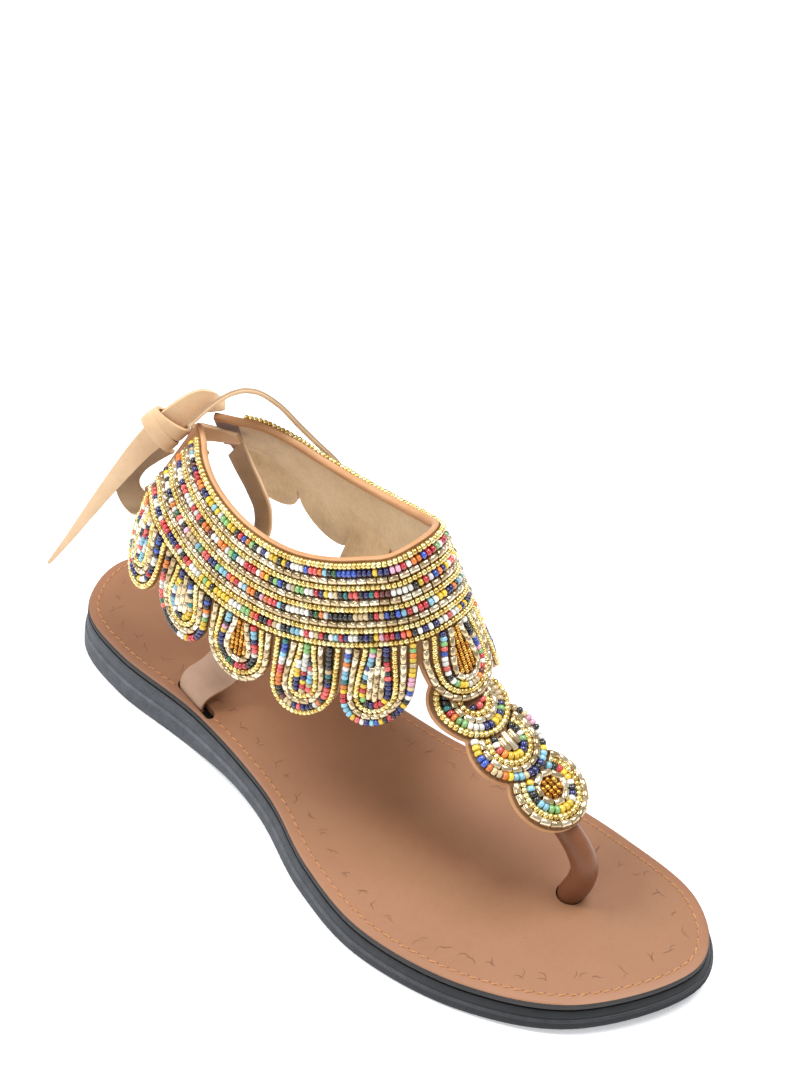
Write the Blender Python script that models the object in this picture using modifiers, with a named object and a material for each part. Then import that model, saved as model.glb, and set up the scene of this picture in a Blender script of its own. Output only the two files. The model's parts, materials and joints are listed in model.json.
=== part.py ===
"""Beaded leather thong sandal for the right foot, built from the pieces a maker puts together.

X runs from heel to toe, Y from the outer to the inner side of the foot, Z up from the floor.
Sizes are millimetres, shrunk to metres as each mesh is made. The collar, its straps and its tie
are drawn about the upper's own middle line, which is turned a little towards the big toe.
"""
import math
from bisect import bisect_left
from collections import namedtuple

import bmesh
import bpy
from mathutils import Matrix, Vector

MM = 0.001
CLOSED = 0.001

# Driving sizes of the foot
LENGTH = 262.4
BALL_WIDTH = 89.0
INSTEP_HIGH = 119.0
UPPER_TURN = math.radians(3.33)

# Sole layers, bottom to top
INSOLE_THICK = 3.0
SOLE_FLARE, PARTING_FLARE, MIDSOLE_FLARE = 2.6, 1.17, 0.5
PARTING_LEDGE = 0.7
SOLE_SECTIONS, SOLE_ACROSS = 32, 3
OUTSOLE_SHARE = 0.58
ARCH_BACK, ARCH_FRONT, ARCH_RISE = 27.0, 53.0, 3.2
SPRING_START, SPRING_RISE = 78.0, 4.0
HEEL_BEVEL, HEEL_BEVEL_RISE = 4.0, 1.6
GAP = 0.3
CUT_LOW, CUT_HIGH = -5.0, 35.0

# Leather and beads
WALL = 2.0
STRAP_WALL = 1.7
BEAD_GAP = 0.45
BAND_GAP = 0.55
BAND_DROP = 30.0
BAND_TOP, BAND_FOOT = 0.3, 29.5
TAB_REACH, TAB_SLANT, TAB_FOLD = 2.5, 5.0, 0.55
TAB_DROP = 31.0
PETAL_SHIFT = -1.2
PETAL_SLIT = 0.6
PETAL_RIM = 0.2
PETAL_TOP = 1.2
SLIT_TOP = 8.0
FLATTEN, FLATTEN_OVER = 0.3, 12.0
ROW_CREST, ROW_VALLEY, ROW_FOOT = 2.5, 1.6, 1.4
FRONT_CROWDING = 1.15
PETAL_ROW = 2.35

# Straps and toe post
SLOT_LENGTH, SLOT_WIDTH, SLOT_AHEAD = 20.6, 3.9, 1.7
POST_RADIUS, POST_SAMPLES = 4.0, 12
POST_HOLE_RADIUS, POST_HOLE_SIDES = 4.6, 24
MEDALLION_RIM = 0.6
MEDALLION_CLEAR = 0.2
MEDALLION_SPANS = 12

# Tie strip
TIE_WIDTH, TIE_THICK = 9.0, 1.4
TAIL_TIP, TAIL_TAPER = 0.12, 1.6
TAIL_FOLD, TAIL_FOLD_OVER = 0.4, 0.2

OutlineRow = namedtuple("OutlineRow", "lateral_along lateral_out medial_along medial_out")
HeightRow = namedtuple("HeightRow", "along high")
CollarRow = namedtuple(
    "CollarRow", "top_along top_half top_high low_along low_half low_high swell lean rise")
PathRow = namedtuple("PathRow", "along side high")
PetalRow = namedtuple("PetalRow", "length hang")
RingRow = namedtuple("RingRow", "inset height")
MedallionRow = namedtuple("MedallionRow", "at radius")
StrapRow = namedtuple("StrapRow", "rise forward inward half_width")
SeatRow = namedtuple("SeatRow", "name along side head_half bend turn")

# Insole outline: percent of the length along, percent of the ball width out from the heel line
HEEL_OUT, TOE_OUT = 1.9, 17.2
OUTLINE = (
    OutlineRow(4.6, -23.8, 4.6, 26.9),
    OutlineRow(15.2, -31.8, 15.2, 36.9),
    OutlineRow(30.5, -30.8, 28.6, 33.1),
    OutlineRow(45.7, -36.6, 40.0, 30.7),
    OutlineRow(57.2, -48.1, 53.4, 34.9),
    OutlineRow(68.6, -52.9, 66.7, 43.4),
    OutlineRow(81.9, -43.9, 81.9, 47.2),
    OutlineRow(93.4, -21.8, 94.1, 42.1),
)

# Footbed height in millimetres at percents of the length
FOOTBED = (
    HeightRow(0.0, 18.0),
    HeightRow(25.0, 17.6),
    HeightRow(45.0, 14.2),
    HeightRow(62.0, 10.9),
    HeightRow(80.0, 10.2),
    HeightRow(92.0, 11.4),
    HeightRow(100.0, 13.2),
)

# Collar from its back end round to the front: percent of length, ball width and instep height.
# The top edge and the lowest bead row are joined by straight lines, as in bent leather.
# Swell is how far, in millimetres, the lowest row stands wider on the inner side of the foot.
# Lean is how far the top stands wider on the outer side, and rise how much higher that side runs.
COLLAR = (
    CollarRow(20.4, 4.5, 96.2, 17.0, 19.7, 76.5, 0.0, 0.0, 0.0),
    CollarRow(22.9, 8.1, 96.0, 18.9, 24.2, 75.6, 0.0, 1.5, 0.4),
    CollarRow(25.9, 13.9, 94.8, 21.3, 29.2, 73.5, 0.0, 3.0, 0.8),
    CollarRow(29.3, 19.1, 91.6, 25.0, 32.9, 70.2, 0.0, 2.6, 1.1),
    CollarRow(33.5, 22.8, 88.2, 30.3, 35.3, 66.0, 0.0, 1.2, 1.1),
    CollarRow(38.1, 24.4, 86.7, 36.6, 35.1, 63.4, 0.2, 0.3, 1.0),
    CollarRow(42.9, 24.2, 87.1, 43.4, 31.5, 62.6, 1.4, 0.0, 1.2),
    CollarRow(47.6, 21.9, 89.2, 49.9, 25.6, 64.5, 3.8, 0.0, 1.9),
    CollarRow(51.4, 18.0, 92.4, 55.4, 18.0, 68.5, 5.0, 0.0, 1.9),
    CollarRow(54.3, 12.4, 96.2, 58.7, 9.9, 72.7, 2.8, 0.0, 0.3),
    CollarRow(55.9, 0.0, 99.3, 59.95, 0.0, 74.4, 0.0, 0.0, 0.0),
)
SWELL_FORWARD = 0.7

# Petals from the outer back round the front to the inner back; hang is degrees out from plumb
PETAL_ROWS = (
    PetalRow(25.6, 19.0),
    PetalRow(23.0, 15.0),
    PetalRow(22.5, 13.0),
    PetalRow(27.0, 13.0),
    PetalRow(28.0, 17.0),
    PetalRow(26.0, 29.0),
    PetalRow(35.0, 20.0),
    PetalRow(25.0, 15.0),
    PetalRow(22.0, 13.0),
    PetalRow(22.5, 13.0),
    PetalRow(23.0, 13.0),
)
PETALS = len(PETAL_ROWS)

# Bead row ridges of a petal or a medallion, from its rim inwards
RINGS = (
    RingRow(0.0, BEAD_GAP),
    RingRow(0.2, ROW_FOOT),
    RingRow(0.5 * PETAL_ROW, ROW_CREST),
    RingRow(1.0 * PETAL_ROW, ROW_VALLEY),
    RingRow(1.5 * PETAL_ROW, ROW_CREST),
    RingRow(2.0 * PETAL_ROW, ROW_VALLEY),
    RingRow(2.5 * PETAL_ROW, ROW_CREST),
    RingRow(3.0 * PETAL_ROW, ROW_VALLEY),
    RingRow(3.6 * PETAL_ROW, ROW_CREST),
)
BACK_RINGS = (0, 4, 8)

# Top face of the strap that runs from under the front petal to the toe post
T_STRAP = (
    PathRow(153.6, 0.0, 98.0),
    PathRow(155.4, 0.0, 91.4),
    PathRow(155.8, 0.0, 85.0),
    PathRow(156.4, 0.0, 78.8),
    PathRow(158.4, 0.0, 73.0),
    PathRow(162.2, 0.0, 68.2),
    PathRow(167.6, 0.0, 64.7),
    PathRow(175.0, 0.0, 61.4),
    PathRow(185.0, -0.8, 57.0),
    PathRow(194.0, -0.6, 52.4),
    PathRow(203.0, 0.0, 47.5),
    PathRow(216.0, 0.0, 40.6),
)
T_TOP_HALF, T_NECK_HALF, T_WAIST_HALF, T_END_HALF = 8.0, 7.5, 9.2, 1.5
T_NECK_AT = 28.0
T_CROWN_TOP, T_CROWN_LOW = 0.055, 0.006
T_CROWN_FROM, T_CROWN_TO = 15.0, 45.0

# Round ends of the strap, by distance down it; each lies over the next, the front petal over the first
PETAL_COVER = MedallionRow(29.6, 12.0)
MEDALLION_ROWS = (
    MedallionRow(40.2, 12.9),
    MedallionRow(57.0, 13.3),
    MedallionRow(76.4, 13.0),
)
MEDALLIONS = len(MEDALLION_ROWS)

# Middle of the rolled leather toe post, from inside the footbed to under the last medallion
TOE_POST = (
    PathRow(216.4, -1.8, 7.7),
    PathRow(216.6, -1.7, 11.0),
    PathRow(218.6, -1.0, 17.5),
    PathRow(218.8, -0.3, 24.6),
    PathRow(215.2, 0.0, 30.6),
    PathRow(209.5, 0.0, 35.8),
    PathRow(203.5, 0.0, 40.0),
)

# Side strap from its slot up to the collar; it bows out, then bends in and forward
STRAP_FOOT_HIGH = 14.9
SIDE_STRAP = (
    StrapRow(0.0, 0.0, -0.5, 6.4),
    StrapRow(3.4, 0.0, -0.7, 6.8),
    StrapRow(6.2, 0.3, 0.6, 7.4),
    StrapRow(8.0, 1.0, 3.4, 7.9),
    StrapRow(9.2, 2.4, 6.8, 8.1),
    StrapRow(11.5, 4.0, 10.2, 8.3),
    StrapRow(20.0, 8.0, 13.4, 8.5),
    StrapRow(32.0, 11.0, 13.0, 8.5),
    StrapRow(44.0, 13.0, 8.0, 8.5),
    StrapRow(54.0, 14.5, 3.2, 8.5),
    StrapRow(65.1, 15.5, 0.0, 8.5),
)
STRAP_WRAP, STRAP_TILT = 0.0012, 0.10

# Where each side strap leaves the footbed and meets the collar; the inner one sits further forward
# Bend scales how far a strap bows in, turn slants its foot outwards
STRAP_SEATS = (
    SeatRow("lateral", 71.2, -27.0, 29.6, 1.0, 0.2),
    SeatRow("medial", 88.2, 18.5, 28.2, 0.48, 0.0),
)

# Routes of the tie, chosen by hand about the upper's middle line
TIE_BAR = (
    PathRow(60.0, -8.9, 104.5),
    PathRow(55.0, -6.5, 104.5),
    PathRow(50.5, -4.2, 104.5),
    PathRow(47.2, -1.8, 104.5),
    PathRow(47.2, 1.8, 104.5),
    PathRow(50.5, 4.2, 104.5),
    PathRow(55.0, 6.5, 104.5),
    PathRow(60.0, 8.9, 104.5),
)
TIE_TAIL = (
    PathRow(53.8, 8.0, 115.6),
    PathRow(52.8, 4.4, 118.0),
    PathRow(50.2, 0.4, 118.6),
    PathRow(47.0, -5.4, 115.4),
    PathRow(42.2, -11.2, 108.4),
    PathRow(36.4, -14.6, 100.0),
    PathRow(28.5, -19.6, 86.0),
    PathRow(20.0, -24.2, 70.5),
    PathRow(11.5, -28.4, 55.0),
    PathRow(4.0, -32.0, 42.0),
)
TIE_END = (
    PathRow(53.6, -6.6, 116.0),
    PathRow(55.2, -4.4, 118.6),
    PathRow(56.8, -1.4, 121.2),
    PathRow(58.8, 2.0, 123.6),
    PathRow(60.6, 5.4, 125.0),
    PathRow(63.4, 8.8, 125.7),
    PathRow(67.0, 12.2, 124.4),
    PathRow(71.0, 17.0, 118.8),
    PathRow(75.0, 22.0, 110.4),
    PathRow(79.2, 26.4, 103.0),
    PathRow(83.6, 30.0, 96.8),
    PathRow(87.6, 32.6, 90.4),
)
TIE_LOOP_INNER = (
    PathRow(58.2, -6.1, 103.5),
    PathRow(60.4, -6.6, 98.4),
    PathRow(64.0, -8.0, 91.4),
    PathRow(69.6, -8.2, 84.2),
    PathRow(75.6, -6.0, 79.6),
    PathRow(79.8, -2.0, 81.6),
    PathRow(77.6, 1.4, 88.0),
    PathRow(72.6, 3.0, 93.4),
    PathRow(67.2, 4.0, 98.4),
    PathRow(61.0, 6.0, 102.4),
)
TIE_LOOP_OUTER = (
    PathRow(41.2, -8.0, 100.6),
    PathRow(34.6, -8.9, 94.4),
    PathRow(29.2, -10.8, 88.6),
    PathRow(26.6, -12.4, 82.2),
    PathRow(28.6, -13.2, 76.8),
    PathRow(34.0, -13.0, 74.2),
    PathRow(40.6, -12.0, 75.2),
    PathRow(46.0, -10.2, 80.2),
    PathRow(49.4, -8.2, 88.0),
    PathRow(52.0, -5.6, 98.0),
)
KNOT_AT = 3.7
KNOT_HALF_WIDE, KNOT_HALF_DEEP, KNOT_LONG = 6.4, 3.0, 9.0
KNOT_SIDES = 20


def clear_scene():
    for old in list(bpy.data.objects):
        bpy.data.objects.remove(old, do_unlink=True)


def new_collection(name):
    made = bpy.data.collections.new(name)
    bpy.context.scene.collection.children.link(made)
    return made


def material(name, colour, roughness, metallic=0.0):
    made = bpy.data.materials.new(name)
    made.use_nodes = True
    shader = made.node_tree.nodes["Principled BSDF"]
    shader.inputs["Base Color"].default_value = (*colour, 1.0)
    shader.inputs["Roughness"].default_value = roughness
    shader.inputs["Metallic"].default_value = metallic
    return made


def catmull(points, place):
    """Point on the smooth curve through evenly counted points, at a fractional index."""
    last = len(points) - 1
    index = min(max(int(math.floor(place)), 0), last - 1)
    share = place - index
    before = points[max(index - 1, 0)]
    start, end = points[index], points[index + 1]
    after = points[min(index + 2, last)]
    result = []
    for a, b, c, d in zip(before, start, end, after):
        bend = (c - a) * share
        bend += (2.0 * a - 5.0 * b + 4.0 * c - d) * share ** 2
        bend += (3.0 * b - a - 3.0 * c + d) * share ** 3
        result.append(b + 0.5 * bend)
    return Vector(result)


def height_at(rows, along):
    """Smooth height over unevenly spaced rows."""
    index = min(max(bisect_left([row.along for row in rows], along) - 1, 0), len(rows) - 2)

    def slope(at):
        low, high = max(at - 1, 0), min(at + 1, len(rows) - 1)
        return (rows[high].high - rows[low].high) / (rows[high].along - rows[low].along)

    start, end = rows[index], rows[index + 1]
    span = end.along - start.along
    share = min(max((along - start.along) / span, 0.0), 1.0)
    ease = share * share * (3.0 - 2.0 * share)
    lead = share * (1.0 - share) ** 2 * slope(index) * span
    trail = share * share * (share - 1.0) * slope(index + 1) * span
    return start.high + (end.high - start.high) * ease + lead + trail


def mesh_object(name, mesh_data, finish, collection, rig):
    made = bpy.data.objects.new(name, mesh_data)
    made.data.materials.append(finish)
    made.parent = rig
    collection.objects.link(made)
    return made


def mesh_from(name, verts, faces, smooth_angle=40.0):
    """Mesh from points in millimetres, welded and facing out where it is closed."""
    weld, kept, index_of = {}, [], []
    for point in verts:
        key = tuple(round(value, 3) for value in point)
        if key not in weld:
            weld[key] = len(kept)
            kept.append(Vector(point) * MM)
        index_of.append(weld[key])
    tidy = []
    for face in faces:
        loop = []
        for corner in face:
            if index_of[corner] not in loop:
                loop.append(index_of[corner])
        if len(loop) > 2:
            tidy.append(loop)
    data = bpy.data.meshes.new(name)
    data.from_pydata(kept, [], tidy)
    work = bmesh.new()
    work.from_mesh(data)
    if all(edge.is_manifold for edge in work.edges):
        bmesh.ops.recalc_face_normals(work, faces=work.faces)
    work.to_mesh(data)
    work.free()
    data.shade_smooth()
    data.set_sharp_from_angle(angle=math.radians(smooth_angle))
    return data


def grid_faces(rows, columns, start=0):
    """Quads over a grid of points stored row by row."""
    faces = []
    for row in range(rows - 1):
        for column in range(columns - 1):
            corner = start + row * columns + column
            faces.append((corner, corner + 1, corner + columns + 1, corner + columns))
    return faces


def outline_loop():
    points = [(0.0, HEEL_OUT)]
    points += [(row.lateral_along, row.lateral_out) for row in OUTLINE]
    points.append((100.0, TOE_OUT))
    points += [(row.medial_along, row.medial_out) for row in reversed(OUTLINE)]
    return [Vector((x * LENGTH, y * BALL_WIDTH)) / 100.0 for x, y in points]


def outline_point(turn, grow):
    """Point of the insole outline grown outwards; turn 0 is the heel, 0.5 the toe."""
    loop = outline_loop()
    count = len(loop)
    wrapped = loop[-1:] + loop + loop[:2]

    def at(share):
        return catmull(wrapped, 1.0 + (share % 1.0) * count)

    step = 0.002
    run = at(turn + step) - at(turn - step)
    outward = Vector((run.y, -run.x)).normalized()
    return at(turn) + outward * grow


def ground(along):
    """Underside of the sole: flat heel and ball, raised arch, toe spring and heel bevel."""
    share = 100.0 * along / LENGTH
    if share < HEEL_BEVEL:
        return HEEL_BEVEL_RISE * ((HEEL_BEVEL - share) / HEEL_BEVEL) ** 2
    if ARCH_BACK < share < ARCH_FRONT:
        return ARCH_RISE * math.sin(math.pi * (share - ARCH_BACK) / (ARCH_FRONT - ARCH_BACK)) ** 2
    if share > SPRING_START:
        return SPRING_RISE * ((share - SPRING_START) / (100.0 - SPRING_START)) ** 2
    return 0.0


def footbed(along):
    return height_at(FOOTBED, 100.0 * along / LENGTH)


def midsole_top(along):
    return footbed(along) - INSOLE_THICK - GAP


def parting(along):
    low = ground(along)
    return low + OUTSOLE_SHARE * (midsole_top(along) - low)


def sole_layer(name, low, high, low_grow, high_grow):
    """Closed layer between two heights, following the outline at its own growth on each face."""
    sections, across = SOLE_SECTIONS, SOLE_ACROSS
    verts, faces = [], []
    for height, grow in ((low, low_grow), (high, high_grow)):
        for section in range(sections + 1):
            turn = 0.5 * section / sections
            outer = outline_point(turn, grow)
            inner = outline_point(1.0 - turn, grow)
            for column in range(across + 1):
                spot = outer.lerp(inner, column / across)
                verts.append((spot.x, spot.y, height(spot.x)))
    columns = across + 1
    layer = (sections + 1) * columns
    faces += [tuple(reversed(face)) for face in grid_faces(sections + 1, columns)]
    faces += grid_faces(sections + 1, columns, layer)
    for section in range(sections):
        for column in (0, across):
            near = section * columns + column
            far = near + columns
            faces.append((near, far, far + layer, near + layer))
    return mesh_from(name, verts, faces)


def foot_frame(along, side, high):
    """Turn a point about the upper's middle line into the sole's frame."""
    return Matrix.Rotation(UPPER_TURN, 3, "Z") @ Vector((along, side, high))


def collar_rows():
    rows = []
    for mirror in (-1.0, 1.0):
        half = []
        for row in COLLAR:
            swell = max(mirror, 0.0) * row.swell
            lean, rise = max(-mirror, 0.0) * row.lean, max(-mirror, 0.0) * row.rise
            half.append((
                row.top_along * LENGTH / 100.0,
                mirror * (row.top_half * BALL_WIDTH / 100.0 + lean),
                row.top_high * INSTEP_HIGH / 100.0 + rise,
                row.low_along * LENGTH / 100.0 + SWELL_FORWARD * swell,
                mirror * (row.low_half * BALL_WIDTH / 100.0 + swell),
                row.low_high * INSTEP_HIGH / 100.0 + rise,
            ))
        rows += half if mirror < 0.0 else list(reversed(half))[1:]
    return rows


class Collar:
    """Outer face of the collar: reach runs along its lowest bead row, drop runs down from the top."""

    SAMPLES = 400

    def __init__(self):
        self.rows = collar_rows()
        self.places = [index * (len(self.rows) - 1) / self.SAMPLES for index in range(self.SAMPLES + 1)]
        lows = [catmull(self.rows, place)[3:] for place in self.places]
        self.lengths = [0.0]
        for first, second in zip(lows, lows[1:]):
            self.lengths.append(self.lengths[-1] + (Vector(second) - Vector(first)).length)
        self.half = 0.5 * self.lengths[-1]
        self.bead_half = self.half - TAB_REACH
        self.pitch = 2.0 * self.bead_half / PETALS

    def edges(self, reach):
        length = min(max(reach + self.half, 0.0), self.lengths[-1])
        index = min(max(bisect_left(self.lengths, length), 1), self.SAMPLES)
        span = self.lengths[index] - self.lengths[index - 1]
        share = (length - self.lengths[index - 1]) / span
        place = self.places[index - 1] + share * (self.places[index] - self.places[index - 1])
        values = catmull(self.rows, place)
        return Vector(values[:3]), Vector(values[3:])

    def bead_reach(self, share, drop):
        """Reach of a bead row's point; share runs from -1 to 1, and the top rows start later."""
        return share * (self.bead_half - TAB_SLANT * (1.0 - drop / BAND_DROP)) + PETAL_SHIFT

    def petal_place(self, reach):
        """Fractional number of the petal at a reach."""
        return min(max((reach - PETAL_SHIFT) / self.pitch + PETALS // 2, 0.0), PETALS - 1.0)

    def petal_middle(self, index):
        return (index - PETALS // 2) * self.pitch + PETAL_SHIFT

    def run(self, reach):
        """Direction of the lowest bead row."""
        step = 2.0
        return (self.edges(reach + step)[1] - self.edges(reach - step)[1]).normalized()

    def hang(self, reach):
        """Direction in which the leather hangs from the lowest bead row."""
        run = self.run(reach)
        outward = Vector((run.y, -run.x, 0.0)).normalized()
        angle = math.radians(catmull(PETAL_ROWS, self.petal_place(reach))[1])
        return outward * math.sin(angle) - Vector((0.0, 0.0, math.cos(angle)))

    def root(self, reach, depth):
        return self.edges(reach)[1] + self.hang(reach) * depth

    def spot(self, reach, drop):
        """Point of the face; below the slits each petal hangs its own way and springs flat."""
        if drop <= BAND_DROP:
            top, low = self.edges(reach)
            return top.lerp(low, drop / BAND_DROP)
        below = drop - BAND_DROP - SLIT_TOP
        if below <= 0.0:
            return self.root(reach, drop - BAND_DROP)
        middle = self.petal_middle(round(self.petal_place(reach)))
        root = self.root(reach, SLIT_TOP)
        flat = self.root(middle, SLIT_TOP) + self.run(middle) * (reach - middle)
        root = root.lerp(flat, FLATTEN * min(below / FLATTEN_OVER, 1.0))
        return root + self.hang(middle) * below

    def point(self, reach, drop, lift=0.0):
        """Point over the leather, lifted outwards."""
        spot = self.spot(reach, drop)
        if lift:
            step = 0.5
            inner, outer = reach - step, reach + step
            if drop > BAND_DROP:
                middle = self.petal_middle(round(self.petal_place(reach)))
                inner = max(inner, middle - 0.5 * self.pitch + step)
                outer = min(outer, middle + 0.5 * self.pitch - step)
            base = drop if drop > BAND_DROP else min(drop, BAND_DROP - step)
            run = self.spot(outer, base) - self.spot(inner, base)
            fall = self.spot(reach, base + step) - self.spot(reach, base)
            spot = spot + fall.cross(run).normalized() * lift
        return foot_frame(*spot)


class TStrap:
    """Top face of the front strap: q runs down its middle line, p runs across it."""

    SAMPLES = 240

    def __init__(self):
        last = len(T_STRAP) - 1
        self.points = [catmull(T_STRAP, last * index / self.SAMPLES) for index in range(self.SAMPLES + 1)]
        self.lengths = [0.0]
        for first, second in zip(self.points, self.points[1:]):
            self.lengths.append(self.lengths[-1] + (second - first).length)
        self.long = self.lengths[-1]

    def spot(self, q):
        length = min(max(q, 0.0), self.long)
        index = min(max(bisect_left(self.lengths, length), 1), self.SAMPLES)
        span = self.lengths[index] - self.lengths[index - 1]
        share = (length - self.lengths[index - 1]) / span
        return self.points[index - 1].lerp(self.points[index], share)

    def point(self, p, q, lift=0.0):
        step = 1.0
        run = (self.spot(q + step) - self.spot(q - step)).normalized()
        up = Vector((-run.z, 0.0, run.x))
        share = min(max((q - T_CROWN_FROM) / (T_CROWN_TO - T_CROWN_FROM), 0.0), 1.0)
        ease = share * share * (3.0 - 2.0 * share)
        crown = T_CROWN_TOP + (T_CROWN_LOW - T_CROWN_TOP) * ease
        spot = self.spot(q) + Vector((0.0, p, 0.0)) + up * (lift - crown * p * p)
        return foot_frame(*spot)

    def half_width(self, q):
        """Scalloped half width: a plain neck above, then a disc behind each medallion."""
        share = min(q / T_NECK_AT, 1.0)
        half = T_TOP_HALF + (T_NECK_HALF - T_TOP_HALF) * share
        if MEDALLION_ROWS[0].at < q < MEDALLION_ROWS[-1].at:
            half = T_WAIST_HALF
        elif q >= MEDALLION_ROWS[-1].at:
            half = T_END_HALF
        for row in MEDALLION_ROWS:
            disc = row.radius + MEDALLION_RIM
            away = abs(q - row.at)
            if away < disc:
                half = max(half, math.sqrt(disc * disc - away * away))
        return half


def petal_length(index):
    return PETAL_ROWS[index].length


def collar_wall(collar):
    """Open face of the collar with its hanging petals, to be thickened inwards."""
    radius = 0.5 * (collar.pitch - PETAL_SLIT)
    band_drops = (0.0, 10.0, 20.0, BAND_DROP, BAND_DROP + SLIT_TOP)
    petal_rows = 3
    arc_steps = 6
    columns = []
    left_tab = collar.half - collar.bead_half + PETAL_SHIFT
    right_tab = collar.half - collar.bead_half - PETAL_SHIFT
    for end in (0.0, TAB_FOLD):
        columns.append((-collar.half + end * left_tab, None, 0.0))
    for index in range(PETALS):
        middle = collar.petal_middle(index)
        for step in range(arc_steps + 1):
            across = -math.cos(math.pi * step / arc_steps)
            columns.append((middle + radius * across, index, radius * across))
    for end in (TAB_FOLD, 0.0):
        columns.append((collar.half - end * right_tab, None, 0.0))
    verts, faces, place = [], [], {}
    for number, (reach, petal, across) in enumerate(columns):
        drops = list(band_drops)
        if petal is None:
            drops = [drop * TAB_DROP / drops[-1] for drop in drops]
        else:
            deep = petal_length(petal) - radius + math.sqrt(max(radius ** 2 - across ** 2, 0.0))
            start = drops[-1]
            for row in range(1, petal_rows + 1):
                drops.append(start + (BAND_DROP + deep - start) * row / petal_rows)
        for row, drop in enumerate(drops):
            place[number, row] = len(verts)
            verts.append(collar.point(reach, drop))
    for number in range(len(columns) - 1):
        same = columns[number][1] is not None and columns[number][1] == columns[number + 1][1]
        rows = len(band_drops) - 1 + (petal_rows if same else 0)
        for row in range(rows):
            corners = ((number, row), (number, row + 1), (number + 1, row + 1), (number + 1, row))
            faces.append(tuple(place[corner] for corner in corners))
    return mesh_from("upper", verts, faces)


def strap_face(name, strap):
    """Open top face of the front strap."""
    rows, columns = 26, 4
    verts = []
    for row in range(rows + 1):
        q = strap.long * row / rows
        half = strap.half_width(q)
        for column in range(columns + 1):
            verts.append(strap.point(half * (1.0 - 2.0 * column / columns), q))
    return mesh_from(name, verts, grid_faces(rows + 1, columns + 1))


def side_strap_point(seat, share, across):
    """Point of a side strap's middle face, rising from its slot in the footbed to the collar."""
    rise, forward, inward, half = catmull(SIDE_STRAP, share * (len(SIDE_STRAP) - 1))
    side_sign = math.copysign(1.0, seat.side)
    climb = rise / SIDE_STRAP[-1].rise
    ease = climb * climb * (3.0 - 2.0 * climb)
    head_side = side_sign * seat.head_half
    side = seat.side + (head_side - seat.side) * ease - side_sign * inward * seat.bend
    edge = across * half
    wrap = side_sign * (seat.turn * edge * (1.0 - ease) - STRAP_WRAP * edge * edge * ease)
    high = STRAP_FOOT_HIGH + rise - STRAP_TILT * edge * ease
    return foot_frame(seat.along + forward + edge, side + wrap, high)


def side_strap_face(name, seat):
    rows, columns = 14, 3
    verts = []
    for row in range(rows + 1):
        for column in range(columns + 1):
            verts.append(side_strap_point(seat, row / rows, 2.0 * column / columns - 1.0))
    faces = grid_faces(rows + 1, columns + 1)
    if seat.side > 0.0:
        faces = [tuple(reversed(face)) for face in faces]
    return mesh_from(name, verts, faces)


def thicken(piece, thickness, offset):
    shell = piece.modifiers.new("leather", "SOLIDIFY")
    shell.thickness = thickness * MM
    shell.offset = offset
    return shell


def join(piece, other):
    union = piece.modifiers.new(other.name, "BOOLEAN")
    union.operation = "UNION"
    union.solver = "EXACT"
    union.object = other


def cut(piece, cutter):
    carve = piece.modifiers.new(cutter.name, "BOOLEAN")
    carve.operation = "DIFFERENCE"
    carve.solver = "EXACT"
    carve.object = cutter


def as_cutter(piece):
    piece.hide_render = True
    piece.display_type = "WIRE"
    return piece


def bead_band(collar):
    """Twelve bead rows laid along the collar: a ridged front on a smooth back."""
    stations, rows = 36, 12
    pitch = BAND_DROP / rows
    profile = [(BAND_TOP, ROW_FOOT)]
    for row in range(rows):
        profile.append(((row + 0.5) * pitch, ROW_CREST))
        low = ROW_VALLEY if row < rows - 1 else ROW_FOOT
        profile.append((min((row + 1.0) * pitch, BAND_FOOT), low))
    back = [(BAND_FOOT, BAND_GAP), (0.5 * BAND_DROP, BAND_GAP), (BAND_TOP, BAND_GAP)]
    ring = profile + back
    verts = []
    for station in range(stations + 1):
        share = 2.0 * station / stations - 1.0
        share = math.copysign(abs(share) ** FRONT_CROWDING, share)
        verts += [collar.point(collar.bead_reach(share, drop), drop, lift) for drop, lift in ring]
    count = len(ring)
    faces = []
    for station in range(stations):
        for corner in range(count):
            near = station * count + corner
            beside = station * count + (corner + 1) % count
            faces.append((near, beside, beside + count, near + count))
    faces.append(tuple(range(count)))
    faces.append(tuple(range(stations * count, (stations + 1) * count)))
    return mesh_from("collar_beads", verts, faces)


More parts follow.
